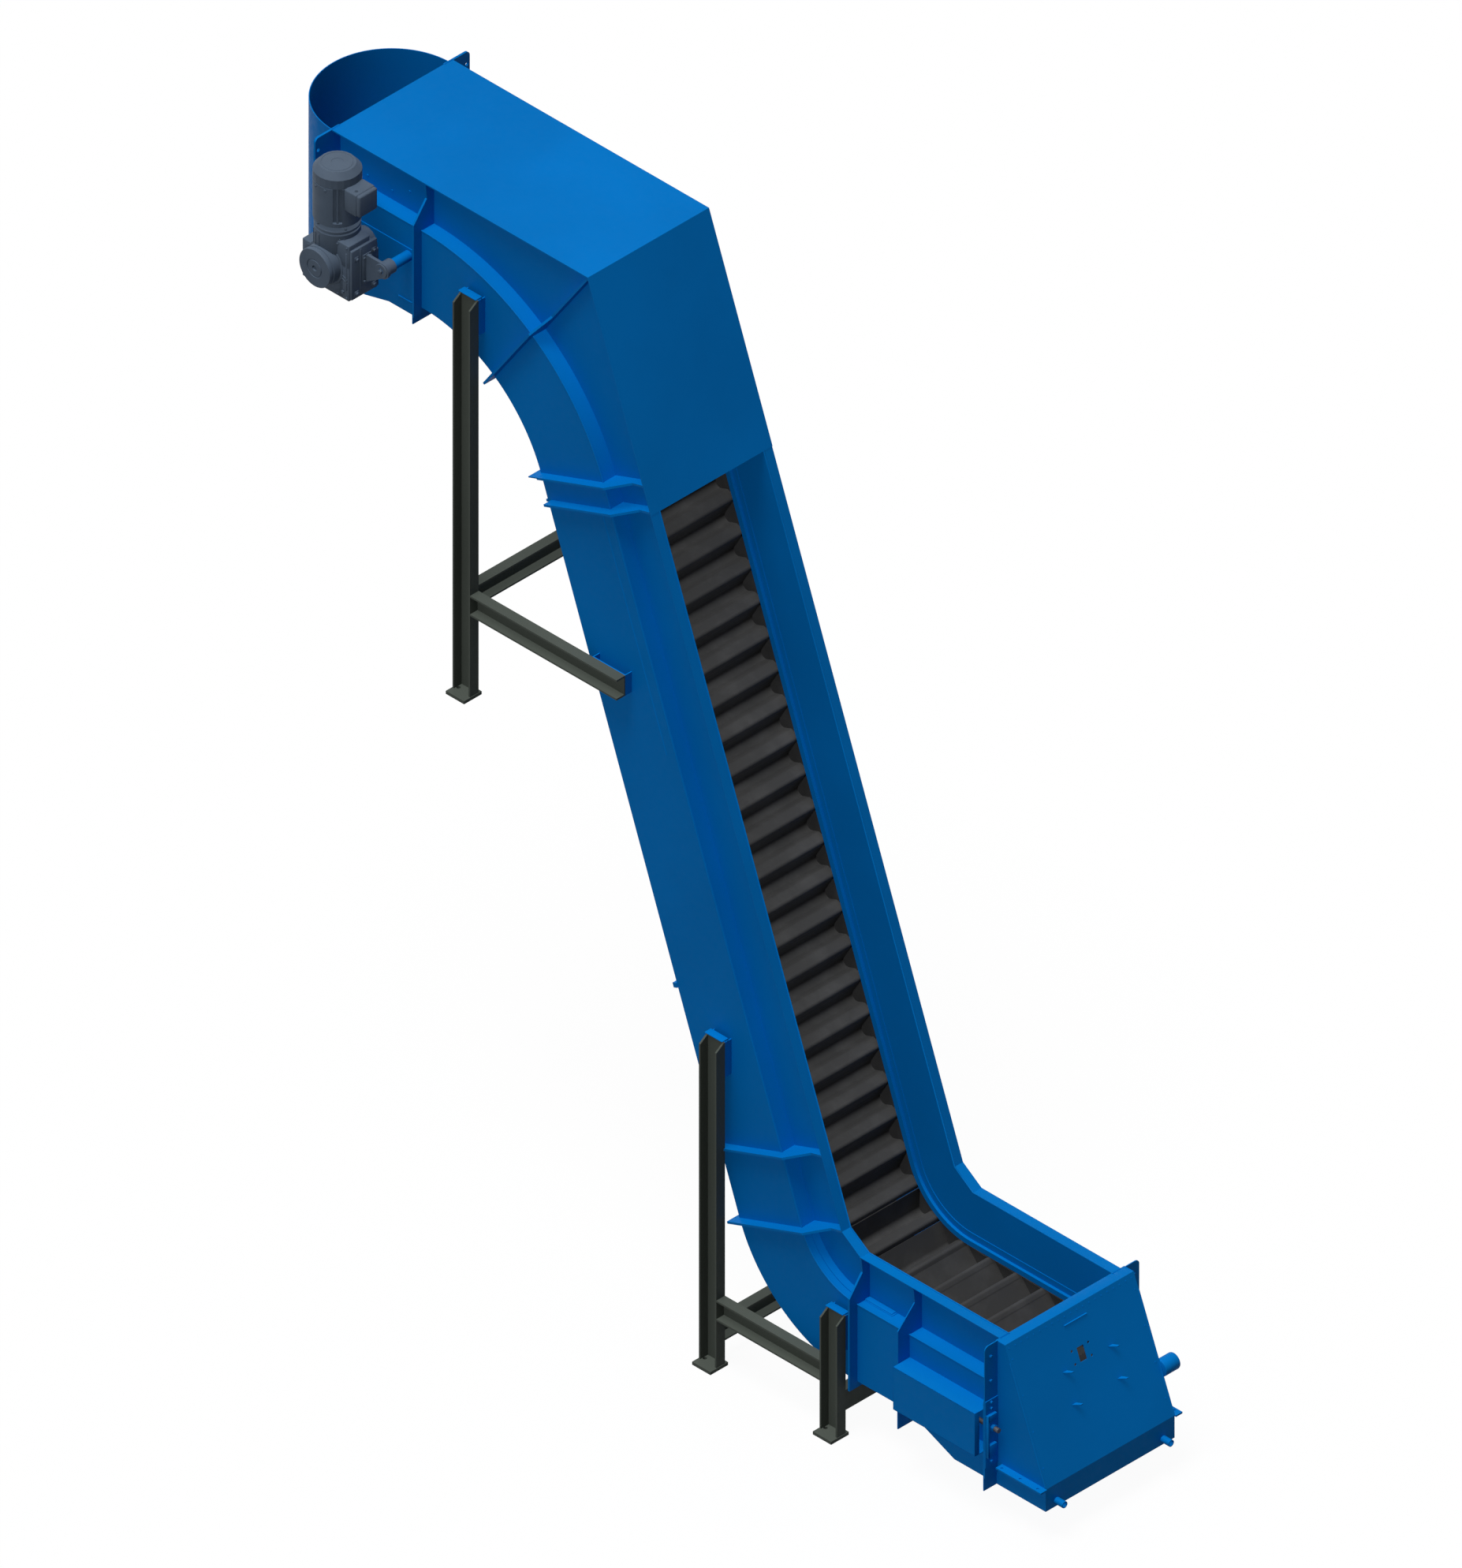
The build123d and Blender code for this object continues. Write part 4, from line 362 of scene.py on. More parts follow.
class Piece:
    """A mesh under construction that becomes one named piece of the dressed machine."""

    def __init__(self, name):
        self.name = name
        self.mesh = bmesh.new()

    def push(self, faces, along):
        """Thicken flat faces along a vector."""
        pushed = bmesh.ops.extrude_face_region(self.mesh, geom=faces)
        moved = [item for item in pushed["geom"] if isinstance(item, bmesh.types.BMVert)]
        bmesh.ops.translate(self.mesh, verts=moved, vec=along)

    def slab(self, points, along):
        """A flat outline pushed along a vector."""
        corners = [self.mesh.verts.new(point) for point in points]
        self.push([self.mesh.faces.new(corners)], along)

    def strip(self, foot, length, half, along):
        """A bar from its foot, as long and half as wide as two vectors, pushed along a third."""
        self.slab([foot - half, foot + length - half, foot + length + half, foot + half], along)

    def plate(self, outline, along, holes=()):
        """A flat outline with holes cut through it, pushed along a vector."""
        edges = []
        for loop in [outline, *holes]:
            verts = [self.mesh.verts.new(point) for point in loop]
            edges += [self.mesh.edges.new(pair) for pair in zip(verts, verts[1:] + verts[:1])]
        way = Vector(along).normalized()
        filled = bmesh.ops.triangle_fill(self.mesh, edges=edges, use_beauty=True, normal=way)
        self.push([item for item in filled["geom"] if isinstance(item, bmesh.types.BMFace)], along)

    def box(self, low, high, bevel=0.0, segments=2):
        """A block between two corners with rounded edges."""
        made = bmesh.ops.create_cube(self.mesh, size=1.0)["verts"]
        size = Vector(high) - Vector(low)
        middle = (Vector(high) + Vector(low)) / 2
        place = Matrix.Translation(middle) @ Matrix.Diagonal(size.to_4d())
        bmesh.ops.transform(self.mesh, matrix=place, verts=made)
        if bevel:
            self.round_off(made, bevel, segments)

    def round_off(self, verts, width, segments=2, turn=20.0):
        """Bevel the edges among these vertices that turn by more than the given angle."""
        chosen = set(verts)
        edges = []
        for edge in self.mesh.edges:
            if edge.verts[0] in chosen and edge.verts[1] in chosen and len(edge.link_faces) == 2:
                if edge.calc_face_angle(0.0) > math.radians(turn):
                    edges.append(edge)
        bmesh.ops.bevel(
            self.mesh, geom=edges, offset=width, segments=segments, profile=0.5,
            affect="EDGES", material=-1, clamp_overlap=True,
        )

    def rod(self, start, end, radius, sides=24, bevel=0.0):
        """A round bar from one point to another."""
        start = Vector(start)
        end = Vector(end)
        way = end - start
        turn = way.to_track_quat("Z", "Y").to_matrix().to_4x4()
        made = bmesh.ops.create_cone(
            self.mesh, cap_ends=True, cap_tris=False, segments=sides, radius1=radius,
            radius2=radius, depth=way.length, matrix=Matrix.Translation((start + end) / 2) @ turn,
        )["verts"]
        if bevel:
            self.round_off(made, bevel, 2, 50.0)

    def turned(self, line, origin, axis, steps=48):
        """A line of (radius, height) points spun once round an axis."""
        axis = Vector(axis)
        side = axis.orthogonal().normalized()
        origin = Vector(origin)
        verts = [self.mesh.verts.new(origin + side * r + axis * h) for r, h in line]
        edges = [self.mesh.edges.new(pair) for pair in zip(verts, verts[1:])]
        bmesh.ops.spin(
            self.mesh, geom=verts + edges, cent=origin, axis=axis, angle=math.tau,
            steps=steps, use_merge=True, use_normal_flip=False, use_duplicate=False,
        )

    def bolt(self, seat, way, size):
        """A hexagon head on a washer, its chamfer rounded."""
        seat = Vector(seat)
        way = Vector(way).normalized()
        self.rod(seat, seat + way * size * 0.18, size * 1.05, 12)
        self.rod(seat + way * size * 0.18, seat + way * size * 0.85, size * 0.92, 6, bevel=size * 0.08)

    def mirror_width(self):
        """Copy everything so far to the other side of the machine."""
        geometry = self.mesh.verts[:] + self.mesh.edges[:] + self.mesh.faces[:]
        bmesh.ops.mirror(self.mesh, geom=geometry, axis="Y", merge_dist=0.0)

    def done(self, slot, instead=(), smooth=CASTING_SMOOTH):
        """Finish the mesh as a piece that rides on the frame and may stand for solids."""
        bmesh.ops.remove_doubles(self.mesh, verts=self.mesh.verts, dist=1e-6)
        bmesh.ops.recalc_face_normals(self.mesh, faces=self.mesh.faces)
        data = bpy.data.meshes.new(self.name)
        self.mesh.to_mesh(data)
        self.mesh.free()
        data.materials.append(finishes[slot])
        data.shade_smooth()
        data.set_sharp_from_angle(angle=math.radians(smooth))
        made = bpy.data.objects.new(self.name, data)
        scene.collection.objects.link(made)
        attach(made, "frame")
        if instead:
            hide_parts(*instead)


def bead(name, lines, radius, slot):
    """Thin round beads along lines of points, such as rounded sheet folds."""
    curve = bpy.data.curves.new(name, "CURVE")
    curve.dimensions = "3D"
    curve.bevel_depth = radius
    curve.bevel_resolution = 2
    curve.use_fill_caps = True
    for points in lines:
        spline = curve.splines.new("POLY")
        spline.points.add(len(points) - 1)
        for spot, point in zip(spline.points, points):
            spot.co = (*point, 1.0)
    curve.materials.append(finishes[slot])
    made = bpy.data.objects.new(name, curve)
    scene.collection.objects.link(made)
    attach(made, "frame")


# pans of the open run, drawn finely in place of the coarse solids
PITCH = 0.1524
PAN_DEPTH = 0.097
ROOT_RADIUS = 0.024
NOSE_RADIUS = 0.013
PAN_SLOPE = math.radians(50.0)
PAN_SHEET = 0.0025
PAN_LAP_GAP = 0.0015
PAN_LIP = 0.014
PAN_TUCK = 0.013
PIN_OVER_RIDGE = 0.002
PAN_HALF = 0.299
WING_SHEET = 0.003
CARRY_PIN = SHELF / 2 + PITCH
HEAD_SHAFT_X = HEAD_END_X + 0.2301
RUN_PITCHES = 39
ROOT_STEPS = 12
NOSE_STEPS = 8


def pan_line(root_steps, nose_steps):
    """Outer line of a pan from its tucked edge to its lip, and the nose's place."""
    sine, cosine = math.sin(PAN_SLOPE), math.cos(PAN_SLOPE)
    lap = PAN_SHEET + PAN_LAP_GAP
    rise = PAN_DEPTH - NOSE_RADIUS
    nose = PITCH - (ROOT_RADIUS - lap + NOSE_RADIUS + (rise - ROOT_RADIUS) * cosine) / sine
    start_x = nose - PITCH + (NOSE_RADIUS - lap) * sine + PAN_TUCK * cosine
    line = [(start_x, rise + (NOSE_RADIUS - lap) * cosine - PAN_TUCK * sine)]
    for step in range(root_steps + 1):
        turn = PAN_SLOPE - (PAN_SLOPE + math.pi / 2) * step / root_steps
        line.append((-ROOT_RADIUS * math.sin(turn), ROOT_RADIUS * (1 - math.cos(turn))))
    flat = nose - NOSE_RADIUS * sine - ROOT_RADIUS
    line.append((ROOT_RADIUS, rise + NOSE_RADIUS * cosine - flat * sine / cosine))
    for step in range(nose_steps + 1):
        turn = PAN_SLOPE * (2 * step / nose_steps - 1)
        line.append((nose + NOSE_RADIUS * math.sin(turn), rise + NOSE_RADIUS * math.cos(turn)))
    lip_x = nose + NOSE_RADIUS * sine + PAN_LIP * cosine
    line.append((lip_x, rise + NOSE_RADIUS * cosine - PAN_LIP * sine))
    return line, nose


def thickened(line, depth):
    """Closed outline of a bent sheet: the line and its copy moved inwards."""
    inner = []
    for index, (x, z) in enumerate(line):
        before = Vector(line[max(index - 1, 0)])
        after = Vector(line[min(index + 1, len(line) - 1)])
        way = (after - before).normalized()
        inner.append((x + way.y * depth, z - way.x * depth))
    return line + inner[::-1]


def apron_joint(travelled):
    """Chain joint a distance down the path from over the head shaft."""
    head_run = CONVEX[0] - HEAD_SHAFT_X
    over = CONVEX_RADIUS + CARRY_PIN
    under = CONCAVE_RADIUS - CARRY_PIN
    if travelled <= head_run:
        return HEAD_SHAFT_X + travelled, HEAD_BACK + CARRY_PIN
    travelled -= head_run
    if travelled <= over * TILT:
        turn = travelled / over
        return CONVEX[0] + over * math.sin(turn), CONVEX[1] + over * math.cos(turn)
    travelled -= over * TILT
    if travelled <= INCLINE:
        return incline_point(INCLINE - travelled, CARRY_PIN)
    travelled -= INCLINE
    if travelled <= under * TILT:
        turn = TILT - travelled / under
        return CONCAVE_X - under * math.sin(turn), CONCAVE_Z - under * math.cos(turn)
    return CONCAVE_X + travelled - under * TILT, TAIL_BACK + CARRY_PIN


def next_joint(joint, travelled):
    """The joint one straight pitch further along, by halving the search span."""
    low, high = travelled + PITCH * 0.9, travelled + PITCH * 1.1
    for _ in range(30):
        middle = (low + high) / 2
        if math.dist(joint, apron_joint(middle)) < PITCH:
            low = middle
        else:
            high = middle
    return low


joints = [apron_joint(0.0)]
travelled = 0.0
for _ in range(RUN_PITCHES):
    travelled = next_joint(joints[-1], travelled)
    joints.append(apron_joint(travelled))
line, nose = pan_line(ROOT_STEPS, NOSE_STEPS)
outline = thickened(line, PAN_SHEET)
root_end = ROOT_STEPS + 2
wing_line = line[:root_end + 1]
wing_line.append((line[root_end][0] + 0.010, line[root_end][1] + 0.012))
pans = Piece("pan_sheets")
wings = Piece("pan_wings")
window_z = incline_point(WINDOW_TOP, CARRY_PIN)[1]
for first, second in zip(joints, joints[1:]):
    if first[1] > window_z:
        continue
    turn = math.atan2(first[1] - second[1], second[0] - first[0])
    place = Matrix.Translation((second[0], 0.0, second[1])) @ Matrix.Rotation(turn, 4, "Y")
    shift = Vector((-nose, 0.0, -PAN_DEPTH - PIN_OVER_RIDGE))
    corners = [place @ (Vector((x, -PAN_HALF, z)) + shift) for x, z in outline]
    pans.slab(corners, (0.0, 2 * PAN_HALF, 0.0))
    for side, inner in ((-1, PAN_HALF - WING_SHEET), (1, PAN_HALF)):
        corners = [place @ (Vector((x, side * inner, z)) + shift) for x, z in wing_line]
        wings.slab(corners, (0.0, -WING_SHEET, 0.0))
pans.done("pan_steel", instead=("pans_open_run",), smooth=SHEET_SMOOTH)
wings.done("pan_steel")

# rounded sheet folds that catch the light along the casing
folds = []
for side in (-1, 1):
    folds.append(casing_line(side * HALF_WIDTH, SHELF, HEAD_END_X + 0.02, TAIL_JOINT_X))
    lip_line = [
        incline_point(WINDOW_TOP, LIP), incline_point(0.0, LIP),
        (CONCAVE_X, TAIL_BACK + LIP), (TAIL_JOINT_X, TAIL_BACK + LIP),
    ]
    folds.append([(x, side * UPPER_HALF, z) for x, z in lip_line])
bead("casing_folds", folds, FOLD_RADIUS, "casing_blue")

# drive unit on the head shaft
SHAFT_Z = HEAD_BACK + SHELF / 2
MOTOR_Y = -0.540
GEAR_NEAR = -0.611
GEAR_FAR = -0.412
GEAR_HALF = 0.1335
GEAR_LOW = SHAFT_Z - 0.132
GEAR_TOP = SHAFT_Z + 0.140
GEAR_SHOULDER = SHAFT_Z + 0.054
RING_TOP = SHAFT_Z + 0.180
MOTOR_FOOT = SHAFT_Z + 0.203
MOTOR_TOP = SHAFT_Z + 0.3992
COWL_SHOULDER = MOTOR_TOP + 0.038
COWL_TOP = COWL_SHOULDER + 0.026
MOTOR_RADIUS = 0.101
SLOT_HALF = 0.019
PIN_X = HEAD_SHAFT_X + 0.2375
PIN_Z = SHAFT_Z + 0.0335
ARM_Y = -0.518
ARM_RISE = 0.0685
EAST = HEAD_SHAFT_X + GEAR_HALF
WEST = HEAD_SHAFT_X - GEAR_HALF
COVER_FACE = EAST + 0.0145
motor_axis = Vector((HEAD_SHAFT_X, MOTOR_Y, 0.0))


def level_way(degrees):
    """Level direction at an angle from the way to the tail."""
    angle = math.radians(degrees)
    return Vector((math.cos(angle), math.sin(angle), 0.0))


def motor_body():
    """Smooth round body with one deep upright slot and a rib in it, on a recessed neck."""
    body = Piece("motor_body")
    slot_way = math.radians(-45.0)
    slot_half = math.asin(SLOT_HALF / MOTOR_RADIUS)
    section = []
    for step in range(TURN_STEPS + 1):
        angle = slot_way + slot_half + (math.tau - 2 * slot_half) * step / TURN_STEPS
        section.append((MOTOR_RADIUS * math.cos(angle), MOTOR_RADIUS * math.sin(angle)))
    out = Vector((math.cos(slot_way), math.sin(slot_way)))
    across_slot = Vector((-out.y, out.x))
    slot_floor = 0.086
    rib_top = 0.097
    notch = [
        (slot_floor, -SLOT_HALF), (slot_floor, -0.005), (rib_top, -0.004),
        (rib_top, 0.004), (slot_floor, 0.005), (slot_floor, SLOT_HALF),
    ]
    section += [tuple(out * reach + across_slot * offset) for reach, offset in notch]
    low = MOTOR_FOOT + 0.020
    high = MOTOR_TOP - 0.008
    body.slab([motor_axis + Vector((x, y, low)) for x, y in section], (0.0, 0.0, high - low))
    body.turned([
        (0.0, RING_TOP), (0.060, RING_TOP), (0.060, MOTOR_FOOT), (0.098, MOTOR_FOOT),
        (MOTOR_RADIUS, MOTOR_FOOT + 0.003), (MOTOR_RADIUS, low), (0.0, low),
    ], motor_axis, UP, TURN_STEPS)
    body.turned([
        (0.0, high), (0.0985, high), (0.0985, MOTOR_TOP - 0.003), (0.0, MOTOR_TOP - 0.003),
    ], motor_axis, UP, TURN_STEPS)
    for angle in (-105, -75, 15, 75, 165):
        way = level_way(angle)
        seat = motor_axis + way * (MOTOR_RADIUS - 0.002) + Vector((0.0, 0.0, MOTOR_TOP - 0.020))
        body.rod(seat, seat + way * 0.005, 0.006, 16, bevel=0.001)
    body.done("motor_grey", instead=("motor_housing",), smooth=30.0)


def fan_cowl_shell():
    """Cowl of 24 flats with a cone and a grille of slats in its top."""
    cowl = Piece("fan_cowl_shell")
    flats = 24
    sunk = COWL_TOP - 0.0015
    cowl.turned([
        (0.0, MOTOR_TOP - 0.003), (MOTOR_RADIUS, MOTOR_TOP - 0.003), (MOTOR_RADIUS, COWL_SHOULDER - 0.001),
        (0.1, COWL_SHOULDER), (0.078, COWL_TOP - 0.001), (0.077, COWL_TOP), (0.068, COWL_TOP),
        (0.067, sunk), (0.064, sunk), (0.063, COWL_TOP), (0.026, COWL_TOP), (0.025, sunk), (0.0, sunk),
    ], motor_axis, UP, flats)
    for index in range(flats):
        way = level_way(360.0 * (index + 0.5) / flats)
        half = Vector((-way.y, way.x, 0.0)) * 0.0012
        low = motor_axis + way * 0.030 + Vector((0.0, 0.0, COWL_TOP - 0.001))
        cowl.strip(low, way * 0.028, half, (0.0, 0.0, 0.0009))
    cowl.done("motor_grey", instead=("fan_cowl",), smooth=12.0)


def motor_ring():
    """Flange ring under the motor with a groove and four bolts."""
    ring = Piece("motor_flange_ring")
    ring.turned([
        (0.0, GEAR_TOP), (0.086, GEAR_TOP), (0.086, RING_TOP - 0.012), (0.0955, RING_TOP - 0.011),
        (0.0965, RING_TOP - 0.010), (0.0965, RING_TOP - 0.001), (0.0955, RING_TOP), (0.0, RING_TOP),
    ], motor_axis, UP, TURN_STEPS)
    for index in range(4):
        spot = motor_axis + level_way(90.0 * index - 22.0) * 0.084
        ring.bolt(spot + Vector((0.0, 0.0, RING_TOP)), UP, 0.007)
    ring.done("gear_grey", instead=("motor_adapter",))


def gear_case():
    """Cast case: low shoulder to the west, round neck under the motor, square head to the east."""
    gear = Piece("gear_case")
    near = GEAR_NEAR + 0.003
    gear.box((WEST, near, GEAR_LOW), (EAST - 0.030, GEAR_FAR, GEAR_SHOULDER), 0.005, 3)
    gear.box((EAST - 0.060, near, GEAR_LOW), (EAST, -0.436, GEAR_SHOULDER), 0.005, 3)
    gear.box((EAST - 0.080, near, GEAR_SHOULDER - 0.03), (EAST, -0.487, GEAR_TOP), 0.005, 3)
    neck_top = RING_TOP - 0.020
    gear.turned([
        (0.0, SHAFT_Z), (0.070, SHAFT_Z), (0.0960, SHAFT_Z + 0.070), (0.0960, neck_top), (0.0, neck_top),
    ], motor_axis, UP, TURN_STEPS)
    for angle in (-128, -112, -96, -40, -28):
        way = level_way(angle)
        foot = motor_axis + Vector((0.0, 0.0, SHAFT_Z + 0.074)) + way * 0.090
        gear.strip(foot, way * 0.0085, Vector((-way.y, way.x, 0.0)) * 0.0022, (0.0, 0.0, 0.072))
    flange = Vector((HEAD_SHAFT_X, GEAR_NEAR, SHAFT_Z))
    gear.rod(flange + Vector((0.0, 0.010, 0.0)), flange, 0.100, TURN_STEPS, bevel=0.003)
    plug = Vector((WEST + 0.045, GEAR_NEAR, GEAR_SHOULDER - 0.036))
    gear.rod(plug + Vector((0.0, 0.008, 0.0)), plug, 0.026, 32)
    for x in (EAST - 0.012, EAST - 0.064):
        for z in (GEAR_LOW + 0.014, GEAR_TOP - 0.014):
            gear.bolt((x, near, z), NEAR, 0.0055)
    rib = [Vector(corner) for corner in ((0, 0, 0), (0.042, 0, -0.020), (0.042, 0, -0.015), (0, 0, 0.005))]
    for fall in (0.012, 0.028):
        low = Vector((EAST - 0.050, GEAR_NEAR + 0.0045, SHAFT_Z - fall))
        gear.slab([low + corner for corner in rib], (0.0, -0.004, 0.0))
    rib_low = (EAST - 0.018, GEAR_NEAR, GEAR_LOW + 0.05)
    gear.box(rib_low, (EAST - 0.010, GEAR_NEAR + 0.006, GEAR_TOP - 0.04), 0.002)
    drain = Vector((EAST - 0.034, GEAR_NEAR, GEAR_LOW + 0.036))
    gear.rod(drain + Vector((0.0, 0.004, 0.0)), drain - Vector((0.0, 0.003, 0.0)), 0.008, 6)
    gear.done("gear_grey", instead=("gear_housing",))


def head_bearing_housings():
    """Bored bearing housings of the head shaft on both walls."""
    low = Vector(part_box("head_bearings")[0])
    depth = abs(low.y) - HALF_WIDTH
    housings = Piece("head_bearing_housings")
    bore = 0.0265
    housings.turned([
        (bore, 0.0), (0.058, 0.0), (0.058, depth - 0.003), (0.055, depth), (bore, depth), (bore, 0.0),
    ], (HEAD_SHAFT_X, -HALF_WIDTH, SHAFT_Z), NEAR)
    housings.mirror_width()
    housings.done("gear_grey", instead=("head_bearings",))


def hub_cover():
    """Round cover over the end of the hollow shaft, stepped rim and ring groove."""
    hub = Piece("shaft_hub_cover")
    hub.turned([
        (0.0, 0.0), (0.089, 0.0), (0.089, 0.034), (0.085, 0.036), (0.085, 0.041), (0.089, 0.043),
        (0.089, 0.057), (0.087, 0.060), (0.044, 0.060), (0.043, 0.057), (0.037, 0.057), (0.036, 0.060),
        (0.013, 0.060), (0.012, 0.052), (0.0, 0.052),
    ], (HEAD_SHAFT_X, GEAR_NEAR, SHAFT_Z), NEAR, TURN_STEPS)
    screws = 12
    for index in range(screws):
        angle = math.tau * (index + 0.5) / screws
        out = Vector((math.cos(angle), 0.0, math.sin(angle))) * 0.078
        spot = Vector((HEAD_SHAFT_X, GEAR_NEAR - 0.0585, SHAFT_Z)) + out
        hub.rod(spot, spot + Vector(NEAR) * 0.0012, 0.004, 12)
    hub.done("gear_grey", instead=("gear_hub_cover",))


def inspection_cover():
    """Tall bolted cover on the east face with an upright rib."""
    cover = Piece("gear_inspection_cover")
    cover.box(
        (EAST - 0.004, GEAR_NEAR + 0.008, GEAR_LOW + 0.010), (EAST + 0.012, -0.458, GEAR_TOP - 0.024), 0.0025,
    )
    cover.box((EAST + 0.008, -0.557, GEAR_LOW + 0.014), (COVER_FACE, -0.550, GEAR_TOP - 0.030), 0.0015)
    pad = 0.012
    for y in (-0.576, -0.478):
        for z in (SHAFT_Z - 0.0985, SHAFT_Z + 0.0695):
            cover.box((EAST + 0.010, y - pad, z - pad), (COVER_FACE, y + pad, z + pad), 0.002)
            cover.bolt((COVER_FACE, y, z), TAILWARD, 0.009)
    cover.done("gear_grey", instead=("gear_side_cover",))


def torque_stay():
    """Tapered web plate to an eye, the grey bush in it and the blue pin to the wall."""
    arm = Piece("torque_arm_plate")
    plate = [(EAST + 0.010, SHAFT_Z + ARM_RISE)]
    eye_radius = 0.038
    eye_steps = 16
    for step in range(eye_steps + 1):
        turn = math.radians(62.0 - 150.0 * step / eye_steps)
        plate.append((PIN_X + eye_radius * math.cos(turn), PIN_Z + eye_radius * math.sin(turn)))
    plate.append((EAST + 0.010, SHAFT_Z - ARM_RISE))
    arm.slab([(x, ARM_Y - 0.007, z) for x, z in plate], (0.0, 0.014, 0.0))
    foot_rise = ARM_RISE + 0.004
    foot_low = (EAST + 0.006, ARM_Y - 0.024, SHAFT_Z - foot_rise)
    arm.box(foot_low, (EAST + 0.016, ARM_Y + 0.024, SHAFT_Z + foot_rise), 0.002)
    for y in (ARM_Y - 0.017, ARM_Y + 0.017):
        for z in (SHAFT_Z - ARM_RISE + 0.012, SHAFT_Z + ARM_RISE - 0.012):
            arm.bolt((EAST + 0.016, y, z), TAILWARD, 0.006)
    arm.done("gear_grey", instead=("torque_arm",))
    bush = Piece("torque_bush_sleeve")
    bore = 0.0125
    bush_start = (PIN_X, ARM_Y - 0.012, PIN_Z)
    bush.turned([
        (bore, 0.0), (0.030, 0.0), (0.032, 0.002), (0.032, 0.060), (0.030, 0.062), (bore, 0.062), (bore, 0.0),
    ], bush_start, (0.0, 1.0, 0.0), 48)
    bush.bolt(bush_start, NEAR, 0.011)
    bush.done("gear_grey", instead=("torque_bush",))
    pin = Piece("torque_pin_round")
    pin.rod((PIN_X, ARM_Y + 0.0505, PIN_Z), (PIN_X, -HALF_WIDTH, PIN_Z), 0.0235, 40, bevel=0.001)
    pin.rod((PIN_X, ARM_Y - 0.011, PIN_Z), (PIN_X, ARM_Y + 0.051, PIN_Z), 0.0123)
    pin.done("casing_blue", instead=("torque_pin",))


def terminal_box_lid():
    """Terminal box with a screwed lid and two blanked cable holes."""
    terminal = Piece("terminal_box_lid")
    start = HEAD_SHAFT_X + MOTOR_RADIUS - 0.010
    end = HEAD_SHAFT_X + MOTOR_RADIUS + 0.078
    low = MOTOR_TOP - 0.107
    terminal.box((start, MOTOR_Y - 0.054, low), (end - 0.018, MOTOR_Y + 0.054, MOTOR_TOP), 0.006, 3)
    lid_low = (end - 0.022, MOTOR_Y - 0.052, low + 0.002)
    terminal.box(lid_low, (end, MOTOR_Y + 0.052, MOTOR_TOP - 0.002), 0.008, 3)
    for y in (MOTOR_Y - 0.042, MOTOR_Y + 0.042):
        for z in (low + 0.013, MOTOR_TOP - 0.013):
            terminal.rod((end - 0.002, y, z), (end - 0.0002, y, z), 0.0055, 16)
    blank_y = MOTOR_Y - 0.006
    for z in (low + 0.042, low + 0.062):
        terminal.rod((end - 0.004, blank_y, z), (end - 0.0003, blank_y, z), 0.007, 20)
    plug = Vector((start + 0.047, MOTOR_Y - 0.03, MOTOR_TOP))
    terminal.rod(plug - Vector((0.0, 0.0, 0.001)), plug, 0.008, 20)
    terminal.done("motor_grey", instead=("terminal_box",))


motor_body()
fan_cowl_shell()
motor_ring()
gear_case()
head_bearing_housings()
hub_cover()
inspection_cover()
torque_stay()
terminal_box_lid()

# end flanges with round top corners, and the tail box that reaches out to the full width
END_OUT = HALF_WIDTH + 0.073
END_ROUND = 0.022
TAIL_LENGTH = 0.2797
TAIL_TOP_LENGTH = 0.0457
TAIL_SLOPE = (TAIL_LENGTH - TAIL_TOP_LENGTH) / LIP
LIP_Z = TAIL_BACK + LIP
SUMP_BOLTS = (1.304, 1.408, 1.508)
HEAD_SHELF_Z = HEAD_BACK + SHELF
HEAD_TOP = HEAD_BACK + LIP


def ring_of(centre, way, radius, sides=12):
    """Points of a round hole about a centre, square to a direction."""
    way = Vector(way).normalized()
    first = way.orthogonal().normalized()
    second = way.cross(first)
    turns = [math.tau * step / sides for step in range(sides)]
    return [Vector(centre) + (first * math.cos(turn) + second * math.sin(turn)) * radius for turn in turns]


def flange_corner(top):
    """Round upper outer corner of an end flange, as places across the width and up."""
    steps = 8
    corner = []
    for step in range(steps + 1):
        turn = math.pi / 2 * step / steps
        corner.append((END_OUT - END_ROUND * (1 - math.cos(turn)), top - END_ROUND * (1 - math.sin(turn))))
    return corner


def slant_point(y, height, out=0.0):
    """A place on the slanted tail sheet at a height above the back line."""
    lean = math.hypot(1.0, TAIL_SLOPE)
    x = TAIL_JOINT_X + TAIL_LENGTH - TAIL_SLOPE * height + out / lean
    return Vector((x, y, TAIL_BACK + height + out * TAIL_SLOPE / lean))


